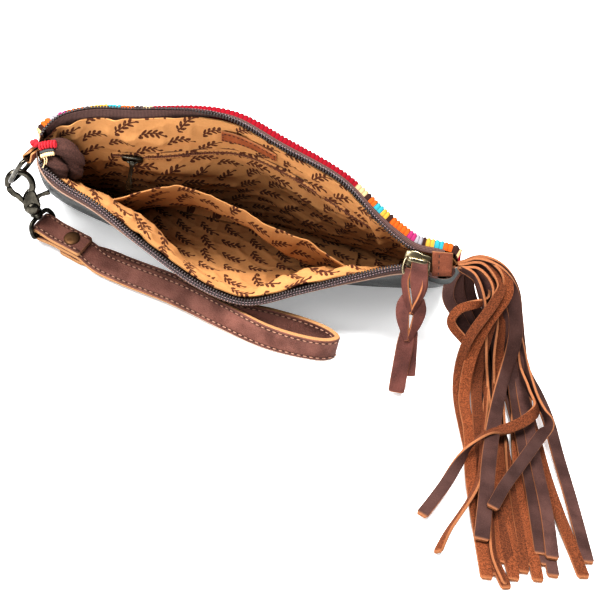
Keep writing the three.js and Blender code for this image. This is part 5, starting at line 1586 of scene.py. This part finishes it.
def ring_and_tab():
    """D-ring through the hook's eye, and the folded leather tab that holds it."""
    axis = hook_frame()[2]
    foot = HOOK_EYE + axis * D_RING["drop"]
    down = unit(foot - D_RING_BAR)
    length = np.linalg.norm(foot - D_RING_BAR)
    sight = across_of(down[None], foot - CAMERA)[0]
    turn = np.radians(D_RING["turn"])
    side = np.cos(turn) * sight + np.sin(turn) * np.cross(down, sight)
    out = np.cross(down, side)
    half = D_RING["half"]
    right = [
        (half * 0.5, 0), (half, 0.2), (half + 0.6, 2.5), (half + 0.2, length * 0.5),
        (half * 0.75, length * 0.9),
    ]
    stops = [*right, (0, length), *[(-x, y) for x, y in reversed(right)]]
    ring = flat_ring(stops, 120, D_RING_BAR, side, down, out, RING_WIRE)
    piece("d_ring_wire", ring, BRASS, ["d_ring"])
    turn = np.linspace(0, np.pi, 9)[:, None]
    radius = RING_WIRE + GAP + 0.7
    fold = D_RING_BAR + radius * (np.cos(turn) * out + np.sin(turn) * down)
    path = route(np.vstack([RING_SEAM + 0.9 * out, fold, RING_SEAM - 0.9 * out]), 70)
    made = ribbon(path, side, 7.6, 1.3, 28, 6.0)
    piece("ring_tab_leather", made, TAB_LEATHER, ["ring_tab"])


def thong(shade, width, stops):
    """One thong along its stops, its leather darkened by its own shade, partly the strand's own tone and
    partly painted shade.

    At no roll its grain faces the viewer where it hangs, and up where it lies on the floor.
    """
    made = route(np.array(stops, float), 130)
    path, roll = made[:, :3], np.radians(made[:, 3:4])
    path[:, 2] = np.maximum(path[:, 2], THONG_THICK / 2 + 0.2)
    hanging = step(path[:, 2:3], 3, 22)
    towards = unit(VIEWER * hanging + UP * (1 - hanging))
    heading = headings(path)
    flat = unit(np.cross(towards, heading))
    face = np.cross(heading, flat)
    strip = ribbon(path, np.cos(roll) * flat + np.sin(roll) * face, width, THONG_THICK, 20, 8.0, 1)
    strip["points"][:, 2] = np.maximum(strip["points"][:, 2], 0.15)
    strip["marks"]["shade"] = np.full(len(strip["points"]), shade)
    return strip


def tassel():
    """Tassel: its thongs come out of the bag's corner seam, each darkened by its number's golden fraction,
    partly as strand tone and partly as painted shade.
    """
    shades = np.arange(len(THONGS)) * 0.618 % 1 * 0.5
    thongs = [thong(shade, *row) for shade, row in zip(shades, THONGS)]
    piece("tassel_thongs", thongs, TASSEL_LEATHER, ["tassel"])


# Stage


def stage():
    """Pale floor, broad soft lights, and the camera at the photograph's place."""
    floor = bpy.data.meshes.new("floor")
    reach, below = 6, -0.0002
    corners = [(x * reach, y * reach, below) for x, y in ((-1, -1), (1, -1), (1, 1), (-1, 1))]
    floor.from_pydata(corners, [], [(0, 1, 2, 3)])
    material, _, principled = shader("floor_white", 0.45)
    principled.inputs["Base Color"].default_value = (0.9, 0.9, 0.9, 1)
    principled.inputs["Emission Color"].default_value = (1, 1, 1, 1)
    principled.inputs["Emission Strength"].default_value = 0.3
    floor.materials.append(material)
    ground = bpy.data.objects.new("floor", floor)
    bpy.context.scene.collection.objects.link(ground)

    world = bpy.data.worlds.new("studio")
    world.use_nodes = True
    sky = world.node_tree.nodes["Background"].inputs
    sky["Color"].default_value = (1, 1, 1, 1)
    sky["Strength"].default_value = 0.14
    bpy.context.scene.world = world

    for name, place, aim, size, watts in (
        ("key_light", (0.1, -0.22, 1.3), (0.02, -0.06, 0.03), 0.5, 24.5),
        ("side_light", (0.9, 0.35, 0.7), (0.02, -0.05, 0.03), 0.5, 4),
        ("front_light", (-0.5, -0.24, 0.58), (-0.1, -0.04, 0.02), 0.35, 5.5),
        ("fill_light", (-0.35, -0.75, 0.55), (0.05, -0.03, 0.05), 0.4, 4),
    ):
        light = bpy.data.lights.new(name, "AREA")
        light.size = size
        light.energy = watts
        lamp = bpy.data.objects.new(name, light)
        lamp.matrix_world = looking(np.array(place), unit(np.array(aim) - np.array(place)), UP)
        bpy.context.scene.collection.objects.link(lamp)

    elevation, roll, distance = np.radians(35), np.radians(13.5), 0.8
    target = np.array([0.036, 0.022 - REST_Y / 1000, 0])
    forward = np.array([0, np.cos(elevation), -np.sin(elevation)])
    raised = np.array([0, np.sin(elevation), np.cos(elevation)])
    up = np.cos(roll) * raised - np.sin(roll) * RIGHT
    camera = bpy.data.objects.new("camera", bpy.data.cameras.new("camera"))
    camera.data.sensor_width = 36
    camera.data.lens = 90
    camera.data.clip_start = 0.01
    camera.matrix_world = looking(target - distance * forward, forward, up)
    bpy.context.scene.collection.objects.link(camera)
    bpy.context.scene.camera = camera
    view = bpy.context.scene.view_settings
    view.view_transform = "Standard"
    view.exposure, view.gamma = 0.3, 0.8


def looking(place, forward, up):
    """Matrix of a camera or lamp at a place: it looks along forward, with up as near as it can be."""
    right = unit(np.cross(forward, up))
    made = np.eye(4)
    made[:3, 0], made[:3, 1], made[:3, 2], made[:3, 3] = right, np.cross(right, forward), -forward, place
    return Matrix(made.tolist())


stage()
front_leather()
woven_back()
for wall_side in ("front", "back"):
    lining_sheet(wall_side)
slip_pocket()
for make in (zip_tape, zip_teeth):
    for wall_side in ("front", "back"):
        make(wall_side)
pocket_zip()
inner_patch()
pocket_hardware()
zip_end()
zip_fold()
pull_parts()
wrist_strap()
snap_hook()
ring_and_tab()
tassel()
